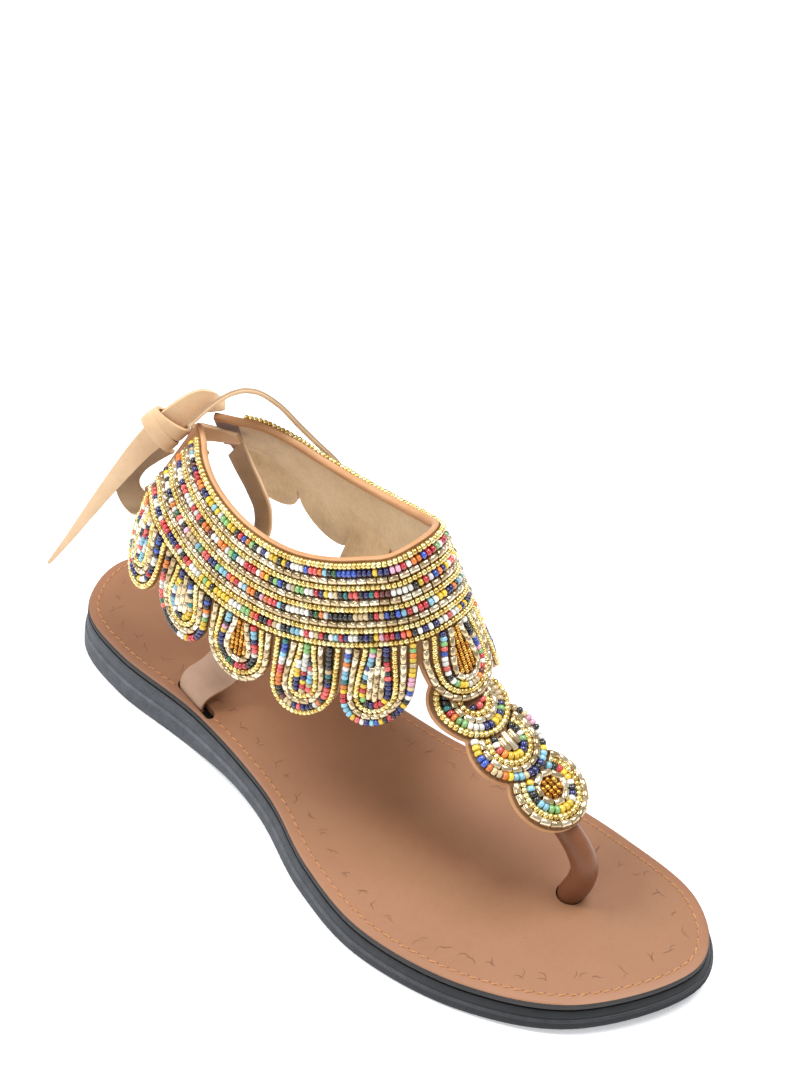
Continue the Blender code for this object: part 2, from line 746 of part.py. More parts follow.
def ringed_pad(name, place, spans):
    """Pad of bead rows: place(inset, share, lift) gives a point of a ring that is open or closes."""
    verts, faces = [], []
    steps = spans + 1

    def add_rings(numbers, lift_of):
        start = len(verts)
        for number in numbers:
            for step in range(steps):
                verts.append(place(RINGS[number].inset, step / spans, lift_of(number)))
        return start

    def core(start, count):
        inner = start + (count - 1) * steps
        for step in range(spans // 2):
            other = inner + spans - step
            faces.append((inner + step, inner + step + 1, other - 1, other))

    def cut_edge(start, numbers, step):
        """Ring numbers and points from the rim inwards, up to the first ring that closes."""
        edge = []
        for order, number in enumerate(numbers):
            first = start + order * steps
            edge.append((number, first + step))
            if (verts[first] - verts[first + spans]).length < CLOSED:
                break
        return edge

    def end_wall(step):
        """Narrow wall between the front and the back where the rings end."""
        outer = cut_edge(front, range(front_count), step)
        inner = cut_edge(back, BACK_RINGS, step)
        at, beside = 0, 0
        while at + 1 < len(outer) or beside + 1 < len(inner):
            done = at + 1 == len(outer)
            if not done and (beside + 1 == len(inner) or outer[at + 1][0] <= inner[beside + 1][0]):
                faces.append((outer[at][1], outer[at + 1][1], inner[beside][1]))
                at += 1
            else:
                faces.append((outer[at][1], inner[beside + 1][1], inner[beside][1]))
                beside += 1
        return outer[-1][1], inner[-1][1]

    front_count, back_count = len(RINGS), len(BACK_RINGS)
    front = add_rings(range(front_count), lambda number: RINGS[number].height)
    back = add_rings(BACK_RINGS, lambda number: BEAD_GAP)
    faces += grid_faces(front_count, steps, front) + grid_faces(back_count, steps, back)
    core(front, front_count)
    core(back, back_count)
    left_front, left_back = end_wall(0)
    right_front, right_back = end_wall(spans)
    faces.append((left_front, right_front, right_back, left_back))
    return mesh_from(name, verts, faces)


def petal_pad(name, collar, index):
    """Arch of bead rows on one petal, open at the top where it meets the lowest row."""
    radius = 0.5 * (collar.pitch - PETAL_SLIT) - PETAL_RIM
    middle = collar.petal_middle(index)
    leg = petal_length(index) - PETAL_RIM - radius
    spans = 8

    def place(inset, share, lift):
        size = radius - inset
        step = round(share * spans)
        if step in (0, spans):
            across, down = (-1.0 if step == 0 else 1.0) * size, PETAL_TOP
        else:
            angle = math.pi * (step - 1) / (spans - 2)
            across, down = -math.cos(angle) * size, leg + math.sin(angle) * size
        return collar.point(middle + across, BAND_DROP + down, lift)

    return ringed_pad(name, place, spans)


def medallion_pad(name, strap, index):
    """Disc of bead rows on the front strap, cut back where the one above lies over it."""
    row = MEDALLION_ROWS[index]
    above = MEDALLION_ROWS[index - 1] if index else PETAL_COVER
    step = row.at - above.at
    cover = above.radius + BEAD_GAP + MEDALLION_CLEAR

    def place(inset, share, lift):
        size = row.radius - inset
        reach = (size ** 2 + step ** 2 - cover ** 2) / (2.0 * size * step)
        hidden = math.acos(min(max(reach, -1.0), 1.0))
        angle = hidden + (2.0 * math.pi - 2.0 * hidden) * share
        return strap.point(-size * math.sin(angle), row.at - size * math.cos(angle), lift)

    return ringed_pad(name, place, MEDALLION_SPANS)


def tube(name, route, radius, samples, collection, rig, finish):
    """Rolled leather cord along a smooth route."""
    curve = bpy.data.curves.new(name, "CURVE")
    curve.dimensions = "3D"
    curve.bevel_depth = radius * MM
    curve.bevel_resolution = 3
    curve.use_fill_caps = True
    spline = curve.splines.new("POLY")
    spline.points.add(samples)
    for index, point in enumerate(spline.points):
        spot = foot_frame(*catmull(route, (len(route) - 1) * index / samples))
        point.co = (*(spot * MM), 1.0)
    made = bpy.data.objects.new(name, curve)
    made.data.materials.append(finish)
    made.parent = rig
    collection.objects.link(made)
    return made


def strip_frame(route, widths, place):
    """Middle point, direction and width direction of a strip whose width turns along its route."""
    last = len(route) - 1
    step = 0.05
    run = catmull(route, min(place + step, last)) - catmull(route, max(place - step, 0.0))
    hint = Vector(widths[0]).lerp(Vector(widths[1]), place / last)
    across = (hint - run * (hint.dot(run) / run.length_squared)).normalized()
    return catmull(route, place), run.normalized(), across


def strip_face(name, route, widths, pointed=False):
    """Open middle face of a flat leather strip."""
    samples = 3 * (len(route) - 1)
    verts = []
    for index in range(samples + 1):
        spot, _, across = strip_frame(route, widths, (len(route) - 1) * index / samples)
        half = 0.5 * TIE_WIDTH
        if pointed:
            share = index / samples
            half *= min(1.0, TAIL_TIP + TAIL_TAPER * (1.0 - share))
            half *= min(1.0, TAIL_FOLD + (1.0 - TAIL_FOLD) * share / TAIL_FOLD_OVER)
        verts += [foot_frame(*(spot + across * half)), foot_frame(*(spot - across * half))]
    return mesh_from(name, verts, grid_faces(samples + 1, 2))


def knot_ring(name, route, widths):
    """Turn of the strip wrapped round the tail, an oval band."""
    middle, axis, side = strip_frame(route, widths, KNOT_AT)
    out = axis.cross(side)
    verts = []
    for end in (-0.5, 0.5):
        for index in range(KNOT_SIDES):
            angle = 2.0 * math.pi * index / KNOT_SIDES
            spot = middle + axis * (end * KNOT_LONG)
            spot += side * (KNOT_HALF_WIDE * math.cos(angle)) + out * (KNOT_HALF_DEEP * math.sin(angle))
            verts.append(foot_frame(*spot))
    faces = []
    for index in range(KNOT_SIDES):
        beside = (index + 1) % KNOT_SIDES
        faces.append((index, beside, beside + KNOT_SIDES, index + KNOT_SIDES))
    return mesh_from(name, verts, faces)


def slot_cutter(name, seat):
    """Slot through the insole for a side strap, a stadium on the strap's foot."""
    verts = []
    corner_steps = 6
    for high in (CUT_LOW, CUT_HIGH):
        for end in (1.0, -1.0):
            for step in range(corner_steps + 1):
                angle = math.pi * (step / corner_steps - 0.5)
                along = end * 0.5 * (SLOT_LENGTH - SLOT_WIDTH + SLOT_WIDTH * math.cos(angle)) + SLOT_AHEAD
                slant = math.copysign(seat.turn, seat.side) * along
                side = end * 0.5 * SLOT_WIDTH * math.sin(angle) + slant
                verts.append(foot_frame(seat.along + along, seat.side + side, high))
    count = len(verts) // 2
    faces = [tuple(reversed(range(count))), tuple(range(count, 2 * count))]
    for index in range(count):
        beside = (index + 1) % count
        faces.append((index, beside, beside + count, index + count))
    return mesh_from(name, verts, faces)


def post_cutter():
    base = foot_frame(*TOE_POST[0])
    work = bmesh.new()
    bmesh.ops.create_cone(
        work, cap_ends=True, segments=POST_HOLE_SIDES, radius1=POST_HOLE_RADIUS * MM,
        radius2=POST_HOLE_RADIUS * MM, depth=(CUT_HIGH - CUT_LOW) * MM,
        matrix=Matrix.Translation(Vector((base.x, base.y, 0.5 * (CUT_LOW + CUT_HIGH))) * MM),
    )
    data = bpy.data.meshes.new("post_hole")
    work.to_mesh(data)
    work.free()
    return data


def build_sole(parts, cutters, rig, rubber, leather):
    outsole = sole_layer(
        "outsole", ground, lambda along: parting(along) - GAP,
        SOLE_FLARE, PARTING_FLARE + PARTING_LEDGE)
    mesh_object("outsole", outsole, rubber["outsole"], parts, rig)
    midsole = sole_layer("midsole", parting, midsole_top, PARTING_FLARE, MIDSOLE_FLARE)
    mesh_object("midsole", midsole, rubber["midsole"], parts, rig)
    insole_low = sole_layer("insole", lambda along: footbed(along) - INSOLE_THICK, footbed, 0.0, 0.0)
    insole = mesh_object("insole", insole_low, leather, parts, rig)
    for seat in STRAP_SEATS:
        name = f"slot_{seat.name}"
        cut(insole, as_cutter(mesh_object(name, slot_cutter(name, seat), leather, cutters, rig)))
    cut(insole, as_cutter(mesh_object("post_hole", post_cutter(), leather, cutters, rig)))


def build_upper(parts, cutters, rig, collar, strap, leather):
    upper = mesh_object("upper", collar_wall(collar), leather, parts, rig)
    thicken(upper, WALL, -1.0)
    front = as_cutter(mesh_object("front_strap", strap_face("front_strap", strap), leather, cutters, rig))
    thicken(front, STRAP_WALL, -1.0)
    join(upper, front)
    for seat in STRAP_SEATS:
        name = f"strap_{seat.name}"
        band = as_cutter(mesh_object(name, side_strap_face(name, seat), leather, cutters, rig))
        thicken(band, STRAP_WALL, 0.0)
        join(upper, band)


def build_beads(parts, rig, collar, strap, finish):
    mesh_object("collar_beads", bead_band(collar), finish["gold"], parts, rig)
    for index in range(PETALS):
        name = f"petal_beads_{index + 1:02d}"
        colour = finish[("gold", "colour", "silver")[index % 3]]
        mesh_object(name, petal_pad(name, collar, index), colour, parts, rig)
    for index in range(MEDALLIONS):
        name = f"medallion_beads_{index + 1}"
        colour = finish[("gold", "colour", "silver")[index % 3]]
        mesh_object(name, medallion_pad(name, strap, index), colour, parts, rig)


def build_tie(parts, rig, leather):
    along_tabs = ((0.31, 0.47, 0.82), (0.31, -0.47, 0.82))
    down_tail = ((-0.4, -0.5, 0.75), (-0.7, -0.1, 0.45))
    over_top = ((0.6, -0.55, 0.55), (0.5, -0.57, 0.64))
    inside = ((0.9, -0.43, 0.0), (0.75, 0.1, 0.6))
    outside = ((-0.85, -0.5, 0.0), (-0.85, -0.5, 0.0))
    strips = (
        ("tie_bar", strip_face("tie_bar", TIE_BAR, along_tabs)),
        ("tie_tail", strip_face("tie_tail", TIE_TAIL, down_tail, pointed=True)),
        ("tie_end", strip_face("tie_end", TIE_END, over_top)),
        ("tie_loop_inner", strip_face("tie_loop_inner", TIE_LOOP_INNER, inside)),
        ("tie_loop_outer", strip_face("tie_loop_outer", TIE_LOOP_OUTER, outside)),
        ("tie_knot", knot_ring("tie_knot", TIE_TAIL, down_tail)),
    )
    for name, data in strips:
        thicken(mesh_object(name, data, leather, parts, rig), TIE_THICK, 0.0)


def stand_on_origin(rig, widest):
    """Move the rig so the floor under the middle of the widest piece is the origin."""
    for axis in (0, 1):
        values = [vertex.co[axis] for vertex in widest.data.vertices]
        rig.location[axis] = -0.5 * (min(values) + max(values))


def main():
    clear_scene()
    parts = new_collection("beaded_sandal")
    cutters = new_collection("cutters")
    rig = bpy.data.objects.new("sandal_rig", None)
    parts.objects.link(rig)
    rubber = {
        "outsole": material("outsole_rubber", (0.030, 0.032, 0.036), 0.6),
        "midsole": material("midsole_rubber", (0.060, 0.064, 0.072), 0.75),
    }
    brown = material("insole_leather", (0.42, 0.20, 0.11), 0.5)
    tan = material("upper_leather", (0.55, 0.36, 0.22), 0.6)
    post_brown = material("post_leather", (0.36, 0.19, 0.11), 0.5)
    tie_tan = material("tie_leather", (0.62, 0.42, 0.26), 0.65)
    beads = {
        "gold": material("gold_beads", (0.75, 0.55, 0.20), 0.25, 0.8),
        "colour": material("colour_beads", (0.60, 0.25, 0.15), 0.2),
        "silver": material("silver_beads", (0.80, 0.74, 0.62), 0.2, 0.8),
    }
    collar, strap = Collar(), TStrap()
    build_sole(parts, cutters, rig, rubber, brown)
    build_upper(parts, cutters, rig, collar, strap, tan)
    tube("toe_post", TOE_POST, POST_RADIUS, POST_SAMPLES, parts, rig, post_brown)
    build_beads(parts, rig, collar, strap, beads)
    build_tie(parts, rig, tie_tan)
    stand_on_origin(rig, parts.objects["outsole"])


main()
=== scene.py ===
"""Finish of the beaded thong sandal: every visible surface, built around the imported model.

Shapes are drawn in the foot's own frame: millimetres, X from heel to toe, Y from the outer to the
inner side, Z up from the floor. to_frame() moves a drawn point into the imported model, in metres.
"""

import json
import math
import random
from bisect import bisect_left
from collections import namedtuple

import bpy
import numpy
from mathutils import Matrix, Vector
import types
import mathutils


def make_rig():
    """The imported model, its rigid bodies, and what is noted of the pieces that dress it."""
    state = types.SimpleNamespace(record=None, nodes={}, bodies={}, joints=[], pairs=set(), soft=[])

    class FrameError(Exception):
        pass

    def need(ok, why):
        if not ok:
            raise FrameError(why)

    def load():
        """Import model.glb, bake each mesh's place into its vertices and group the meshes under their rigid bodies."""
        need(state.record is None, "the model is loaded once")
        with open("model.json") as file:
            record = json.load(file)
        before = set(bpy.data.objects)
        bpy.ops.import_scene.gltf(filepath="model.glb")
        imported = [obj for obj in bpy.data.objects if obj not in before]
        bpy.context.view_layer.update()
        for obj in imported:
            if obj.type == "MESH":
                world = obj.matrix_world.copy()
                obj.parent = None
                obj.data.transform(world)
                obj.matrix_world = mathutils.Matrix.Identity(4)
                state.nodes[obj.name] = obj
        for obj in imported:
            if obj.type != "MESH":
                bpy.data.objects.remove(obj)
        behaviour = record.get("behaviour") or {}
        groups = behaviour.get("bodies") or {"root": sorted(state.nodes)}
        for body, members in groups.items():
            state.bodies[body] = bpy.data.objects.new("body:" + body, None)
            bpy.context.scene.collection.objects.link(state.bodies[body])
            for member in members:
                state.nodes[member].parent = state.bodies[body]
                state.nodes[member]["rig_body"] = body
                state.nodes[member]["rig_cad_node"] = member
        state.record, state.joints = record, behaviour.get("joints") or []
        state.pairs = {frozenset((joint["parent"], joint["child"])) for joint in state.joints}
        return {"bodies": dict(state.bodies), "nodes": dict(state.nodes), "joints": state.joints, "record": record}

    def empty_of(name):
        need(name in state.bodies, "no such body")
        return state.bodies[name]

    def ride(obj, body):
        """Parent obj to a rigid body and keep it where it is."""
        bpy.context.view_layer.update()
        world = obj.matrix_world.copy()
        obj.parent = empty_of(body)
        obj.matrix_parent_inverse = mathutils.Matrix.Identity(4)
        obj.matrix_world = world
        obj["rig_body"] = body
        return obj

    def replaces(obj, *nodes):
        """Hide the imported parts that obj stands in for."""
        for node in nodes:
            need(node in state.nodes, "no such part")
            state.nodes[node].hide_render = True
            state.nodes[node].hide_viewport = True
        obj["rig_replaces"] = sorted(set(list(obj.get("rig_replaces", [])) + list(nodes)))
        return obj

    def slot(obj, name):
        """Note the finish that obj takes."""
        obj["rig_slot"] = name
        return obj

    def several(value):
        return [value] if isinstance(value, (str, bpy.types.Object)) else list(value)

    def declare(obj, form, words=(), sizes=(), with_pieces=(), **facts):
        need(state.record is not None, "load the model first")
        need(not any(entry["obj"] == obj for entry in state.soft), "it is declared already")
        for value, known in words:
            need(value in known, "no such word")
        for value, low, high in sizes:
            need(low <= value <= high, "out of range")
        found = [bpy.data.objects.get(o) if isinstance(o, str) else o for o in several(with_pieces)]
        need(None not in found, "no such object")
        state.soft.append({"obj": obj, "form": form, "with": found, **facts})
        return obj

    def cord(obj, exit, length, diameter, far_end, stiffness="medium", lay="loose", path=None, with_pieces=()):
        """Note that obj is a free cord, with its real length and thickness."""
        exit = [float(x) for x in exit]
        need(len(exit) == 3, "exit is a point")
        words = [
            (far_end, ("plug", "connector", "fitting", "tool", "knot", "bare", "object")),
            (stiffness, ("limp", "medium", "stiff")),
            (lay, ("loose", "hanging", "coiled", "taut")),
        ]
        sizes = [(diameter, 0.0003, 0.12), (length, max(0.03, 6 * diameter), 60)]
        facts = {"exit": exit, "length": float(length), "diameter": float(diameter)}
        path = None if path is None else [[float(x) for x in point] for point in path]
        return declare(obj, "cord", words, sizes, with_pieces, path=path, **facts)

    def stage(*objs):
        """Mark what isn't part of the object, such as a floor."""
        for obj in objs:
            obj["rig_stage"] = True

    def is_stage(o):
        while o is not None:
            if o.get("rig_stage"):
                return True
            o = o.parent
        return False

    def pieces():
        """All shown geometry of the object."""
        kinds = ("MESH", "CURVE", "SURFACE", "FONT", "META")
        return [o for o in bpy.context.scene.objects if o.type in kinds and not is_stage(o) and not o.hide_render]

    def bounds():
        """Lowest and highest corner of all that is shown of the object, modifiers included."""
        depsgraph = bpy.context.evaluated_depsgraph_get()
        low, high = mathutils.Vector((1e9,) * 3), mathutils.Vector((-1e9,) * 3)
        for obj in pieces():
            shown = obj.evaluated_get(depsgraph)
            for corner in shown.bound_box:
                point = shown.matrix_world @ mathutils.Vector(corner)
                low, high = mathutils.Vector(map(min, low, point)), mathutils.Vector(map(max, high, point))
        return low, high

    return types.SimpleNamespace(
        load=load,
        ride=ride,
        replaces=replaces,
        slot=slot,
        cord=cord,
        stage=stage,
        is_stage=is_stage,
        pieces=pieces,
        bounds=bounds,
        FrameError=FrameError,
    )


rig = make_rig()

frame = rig.load()
CAD_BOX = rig.bounds()

MM = 0.001
BODY = "root"
STITCH_SEED, MARK_SEED, COLLAR_SEED, PETAL_SEED, MEDALLION_SEED = 41, 42, 43, 51, 81
WHITE = (1.0, 1.0, 1.0, 1.0)
SHORTEST_RUN = 1e-6

# Driving sizes of the foot
LENGTH = 262.4
BALL_WIDTH = 89.0
INSTEP_HIGH = 119.0
UPPER_TURN = math.radians(3.33)

# Sole layers
INSOLE_THICK = 3.0
SOLE_FLARE = 2.6
PARTING_GROW = 1.17
PARTING_LEDGE = 0.7
OUTSOLE_SHARE = 0.58
ARCH_BACK, ARCH_FRONT, ARCH_RISE = 27.0, 53.0, 3.2
SPRING_START, SPRING_RISE = 78.0, 4.0
HEEL_BEVEL, HEEL_BEVEL_RISE = 4.0, 1.6
GAP = 0.3
SOLE_SECTIONS = 110
SOLE_AROUND = 2 * SOLE_SECTIONS
CAD_SECTIONS = 32

# Leather
WALL = 2.0
STRAP_WALL = 1.7
BAND_DROP = 30.0
TAB_REACH, TAB_SLANT, TAB_FOLD, TAB_DROP, TAB_FACING = 2.5, 5.0, 0.55, 31.0, 9.0
PETAL_SHIFT, PETAL_SLIT, PETAL_RIM, PETAL_TOP = -1.2, 0.6, 0.2, 0.2
SLIT_TOP = 8.0
FLATTEN, FLATTEN_OVER = 0.3, 12.0
SLOT_LENGTH, SLOT_WIDTH, SLOT_AHEAD = 20.6, 3.9, 1.7
SLOT_CLEAR_LONG, SLOT_CLEAR_WIDE = 1.0, 0.4
POST_RADIUS, POST_HOLE_RADIUS, POST_SEAM = 4.0, 4.6, 0.35
POST_FOOT, POST_SWELL, POST_SWELL_PACE = 0.98, 0.13, 1.25
POST_SEAM_SIDE = (0.2, 1.0, 0.0)
MEDALLION_RIM, MEDALLION_CLEAR = 0.6, 0.65
TIE_WIDTH, TIE_THICK, TIE_CURL, CUP_LEVEL = 9.0, 1.4, 0.35, 0.4
TAIL_TIP, TAIL_TAPER, TAIL_FOLD, TAIL_FOLD_OVER = 0.12, 1.6, 0.4, 0.2
FINE_ANGLE, SHEET_ANGLE, ROUND_ANGLE, BEAD_ANGLE = 40.0, 50.0, 60.0, 75.0

# Painted shade on the rubber towards the toe: where it starts to darken and where it is darkest, in metres from the
# middle
TOE_SHADE_SPAN = (-0.03, 0.10)
# Rings of the outsole that make its lighter upper edge, a painted highlight along the ledge, counted from the floor
RIDGE_RINGS = (5, 8)

# Insole marks
STITCH_INSET, STITCH_PITCH, STITCH_LONG, STITCH_WIDE, STITCH_HIGH = 3.5, 3.4, 2.9, 0.58, 0.34
STITCH_BODY, STITCH_TIP, STITCH_SINK = 0.94, 0.06, 0.25
STITCH_BED, STITCH_ROUND = 0.35, 0.65
STITCH_ASKEW, STITCH_STRETCH = (6.0, 16.0), (0.92, 1.06)
NEEDLE_LONG, NEEDLE_WIDE = 0.30, 0.26
MARK_INSET, MARK_PITCH, MARK_LONG, MARK_WIDE = 8.8, 8.4, 4.8, 0.36
MARK_LIFT, NEEDLE_LIFT = 0.04, 0.03
# Ranges of a tool mark's strokes: angles in degrees, places in millimetres, sizes as shares
MARK_AIM, MARK_FAN, MARK_CURL = (-30.0, 30.0), (0.0, 75.0), (-170.0, 170.0)
MARK_STRAY, MARK_START = (-1.0, 1.0), (0.2, 1.4)
MARK_STRETCH, MARK_THIN = (0.55, 1.0), (0.5, 1.0)
MARK_TAPER_START, MARK_TAPER_RUN = 0.08, 0.84
# Heights between which the insole's holes are cut
CUTTER_LEVELS = (-20.0, 60.0)

# Photo camera
CAMERA_TURN, CAMERA_RISE, CAMERA_ROLL = math.radians(40.84), math.radians(40.0), math.radians(4.0)
CAMERA_AWAY = 0.6607
CAMERA_TARGET = (47.9, 110.1, 0.0)
CAMERA_LENS, CAMERA_SENSOR, CAMERA_CLIP = 72.0, 36.0, 0.01

# Studio: each light's name, place, aim, size and power, in metres and watts
LIGHTS = (
    ("key", (-0.75, -0.40, 1.10), (0.0, 0.0, 0.04), 0.5, 10.0),
    ("top", (0.22, 0.38, 1.26), (0.0, 0.0, 0.03), 0.8, 15.5),
    ("side", (0.10, -0.95, 0.75), (0.0, 0.0, 0.06), 0.5, 3.0),
)
BACKDROP, BACKDROP_STRENGTH = (0.97, 0.985, 1.0, 1.0), 0.46
FLOOR_HALF = 3.0
# Gloss of the clear coats, spread of roughness, and the mix node's sockets
COAT_GLOSS, GLOSS_BELOW, GLOSS_ABOVE = 0.08, 0.08, 0.12
MIX_SHARE, MIX_FIRST, MIX_SECOND, MIX_RESULT = 0, 6, 7, 2
FLOOR_GLOW, FLOOR_GLOW_STRENGTH = (0.94, 0.97, 1.0, 1.0), 0.3

OutlineRow = namedtuple("OutlineRow", "lateral_along lateral_out medial_along medial_out")
HeightRow = namedtuple("HeightRow", "along high")
CollarRow = namedtuple(
    "CollarRow", "top_along top_half top_high low_along low_half low_high swell lean rise")
PetalRow = namedtuple("PetalRow", "length hang")
MedallionRow = namedtuple("MedallionRow", "at radius")
StrapRow = namedtuple("StrapRow", "rise forward inward half_width")
SeatRow = namedtuple("SeatRow", "name along side head_half bend turn")
BeadKind = namedtuple("BeadKind", "long wide gap tilt profile")
Bead = namedtuple("Bead", "middle axis up kind long wide finish")


def table(kind, *rows):
    return tuple(kind(*row) for row in rows)


# Sole outline and footbed, in hundredths of the length and of the ball's width; heights in millimetres
HEEL_OUT, TOE_OUT = 1.9, 17.2
OUTLINE = table(
    OutlineRow,
    (4.6, -23.8, 4.6, 26.9), (15.2, -31.8, 15.2, 36.9), (30.5, -30.8, 28.6, 33.1),
    (45.7, -36.6, 40.0, 30.7), (57.2, -48.1, 53.4, 34.9), (68.6, -52.9, 66.7, 43.4),
    (81.9, -43.9, 81.9, 47.2), (93.4, -21.8, 94.1, 42.1),
)
FOOTBED = table(
    HeightRow,
    (0.0, 18.0), (25.0, 17.6), (45.0, 14.2), (62.0, 10.9), (80.0, 10.2), (92.0, 11.4), (100.0, 13.2),
)

# Collar from the heel to the front, in hundredths of the driving sizes; the last three in millimetres
COLLAR = table(
    CollarRow,
    (20.4, 4.5, 96.2, 17.0, 19.7, 76.5, 0.0, 0.0, 0.0),
    (22.9, 8.1, 96.0, 18.9, 24.2, 75.6, 0.0, 1.5, 0.4),
    (25.9, 13.9, 94.8, 21.3, 29.2, 73.5, 0.0, 3.0, 0.8),
    (29.3, 19.1, 91.6, 25.0, 32.9, 70.2, 0.0, 2.6, 1.1),
    (33.5, 22.8, 88.2, 30.3, 35.3, 66.0, 0.0, 1.2, 1.1),
    (38.1, 24.4, 86.7, 36.6, 35.1, 63.4, 0.2, 0.3, 1.0),
    (42.9, 24.2, 87.1, 43.4, 31.5, 62.6, 1.4, 0.0, 1.2),
    (47.6, 21.9, 89.2, 49.9, 25.6, 64.5, 3.8, 0.0, 1.9),
    (51.4, 18.0, 92.4, 55.4, 18.0, 68.5, 5.0, 0.0, 1.9),
    (54.3, 12.4, 96.2, 58.7, 9.9, 72.7, 2.8, 0.0, 0.3),
    (55.9, 0.0, 99.3, 59.95, 0.0, 74.4, 0.0, 0.0, 0.0),
)
SWELL_FORWARD = 0.7
PETAL_ROWS = table(
    PetalRow,
    (25.6, 19.0), (23.0, 15.0), (22.5, 13.0), (27.0, 13.0), (28.0, 17.0), (26.0, 29.0),
    (35.0, 20.0), (25.0, 15.0), (22.0, 13.0), (22.5, 13.0), (23.0, 13.0),
)
PETALS = len(PETAL_ROWS)

# Routes below are points along, to the side and up, about the upper's middle line
T_STRAP = (
    (153.6, 0.0, 98.0), (155.4, 0.0, 91.4), (155.8, 0.0, 85.0), (156.4, 0.0, 78.8), (158.4, 0.0, 73.0),
    (162.2, 0.0, 68.2), (167.6, 0.0, 64.7), (175.0, 0.0, 61.4), (185.0, -0.8, 57.0), (194.0, -0.6, 52.4),
    (203.0, 0.0, 47.5), (216.0, 0.0, 40.6),
)
T_TOP_HALF, T_NECK_HALF, T_WAIST_HALF, T_END_HALF = 8.0, 7.5, 9.2, 1.5
T_NECK_AT = 28.0
T_CROWN_TOP, T_CROWN_LOW = 0.055, 0.006
T_CROWN_FROM, T_CROWN_TO = 15.0, 45.0
PETAL_COVER = MedallionRow(29.6, 12.0)
MEDALLION_ROWS = table(MedallionRow, (40.2, 12.9), (57.0, 13.3), (76.4, 13.0))
MEDALLIONS = len(MEDALLION_ROWS)
TOE_POST = (
    (216.4, -1.8, 7.7), (216.6, -1.7, 11.0), (218.6, -1.0, 17.5), (218.8, -0.3, 24.6),
    (215.2, 0.0, 30.6), (209.5, 0.0, 35.8), (203.5, 0.0, 40.0),
)
STRAP_FOOT_HIGH = 14.9
SIDE_STRAP = table(
    StrapRow,
    (0.0, 0.0, -0.5, 6.4), (3.4, 0.0, -0.7, 6.8), (6.2, 0.3, 0.6, 7.4), (8.0, 1.0, 3.4, 7.9),
    (9.2, 2.4, 6.8, 8.1), (11.5, 4.0, 10.2, 8.3), (20.0, 8.0, 13.4, 8.5), (32.0, 11.0, 13.0, 8.5),
    (44.0, 13.0, 8.0, 8.5), (54.0, 14.5, 3.2, 8.5), (65.1, 15.5, 0.0, 8.5),
)
STRAP_WRAP, STRAP_TILT = 0.0012, 0.10
STRAP_SEATS = table(
    SeatRow,
    ("lateral", 71.2, -27.0, 29.6, 1.0, 0.2),
    ("medial", 88.2, 18.5, 28.2, 0.48, 0.0),
)

# Routes of the tie
TIE_BAR = (
    (60.0, -8.9, 104.5), (55.0, -6.5, 104.5), (50.5, -4.2, 104.5), (47.2, -1.8, 104.5),
    (47.2, 1.8, 104.5), (50.5, 4.2, 104.5), (55.0, 6.5, 104.5), (60.0, 8.9, 104.5),
)
TIE_TAIL = (
    (53.8, 8.0, 115.6), (52.8, 4.4, 118.0), (50.2, 0.4, 118.6), (47.0, -5.4, 115.4), (42.2, -11.2, 108.4),
    (36.4, -14.6, 100.0), (28.5, -19.6, 86.0), (20.0, -24.2, 70.5), (11.5, -28.4, 55.0), (4.0, -32.0, 42.0),
)
TIE_END = (
    (53.6, -6.6, 116.0), (55.2, -4.4, 118.6), (56.8, -1.4, 121.2), (58.8, 2.0, 123.6),
    (60.6, 5.4, 125.0), (63.4, 8.8, 125.7), (67.0, 12.2, 124.4), (71.0, 17.0, 118.8),
    (75.0, 22.0, 110.4), (79.2, 26.4, 103.0), (83.6, 30.0, 96.8), (87.6, 32.6, 90.4),
)
TIE_LOOP_INNER = (
    (58.2, -6.1, 103.5), (60.4, -6.6, 98.4), (64.0, -8.0, 91.4), (69.6, -8.2, 84.2), (75.6, -6.0, 79.6),
    (79.8, -2.0, 81.6), (77.6, 1.4, 88.0), (72.6, 3.0, 93.4), (67.2, 4.0, 98.4), (61.0, 6.0, 102.4),
)
TIE_LOOP_OUTER = (
    (41.2, -8.0, 100.6), (34.6, -8.9, 94.4), (29.2, -10.8, 88.6), (26.6, -12.4, 82.2), (28.6, -13.2, 76.8),
    (34.0, -13.0, 74.2), (40.6, -12.0, 75.2), (46.0, -10.2, 80.2), (49.4, -8.2, 88.0), (52.0, -5.6, 98.0),
)
# Directions of a strip's width at the start and the end of its route
ALONG_TABS = ((0.31, 0.47, 0.82), (0.31, -0.47, 0.82))
DOWN_TAIL = ((-0.4, -0.5, 0.75), (-0.7, -0.1, 0.45))
OVER_TOP = ((0.6, -0.55, 0.55), (0.5, -0.57, 0.64))
INSIDE = ((0.9, -0.43, 0.0), (0.75, 0.1, 0.6))
OUTSIDE = ((-0.85, -0.5, 0.0), (-0.85, -0.5, 0.0))
STRIP_SECTION = (
    (-1.0, -0.18), (-0.94, -0.5), (-0.5, -0.5), (0.0, -0.5), (0.5, -0.5), (0.94, -0.5), (1.0, -0.18),
    (1.0, 0.18), (0.94, 0.5), (0.5, 0.5), (0.0, 0.5), (-0.5, 0.5), (-0.94, 0.5), (-1.0, 0.18),
)
STRIP_BACK = 6
KNOT_AT = 3.7
KNOT_HALF_WIDE, KNOT_HALF_DEEP, KNOT_LONG, KNOT_ROUND = 6.4, 3.0, 9.0, 0.06
# Turns of the knot: start and end along it, how far out, how askew
KNOT_TURNS = ((-0.5, 0.08, 0.0, 0.10), (-0.06, 0.5, 0.35, -0.12))

# Rolled edge of the collar: drop from the top and lift from the outer face
BINDING_SHARE = 0.998
BINDING = (
    (0.35, 0.02), (0.0, 0.12), (-0.28, -0.15), (-0.42, -0.70), (-0.40, -1.30), (-0.20, -1.85),
    (0.15, -2.20), (0.7, -2.32), (1.3, -2.36), (1.7, -2.30), (1.8, -2.05),
)

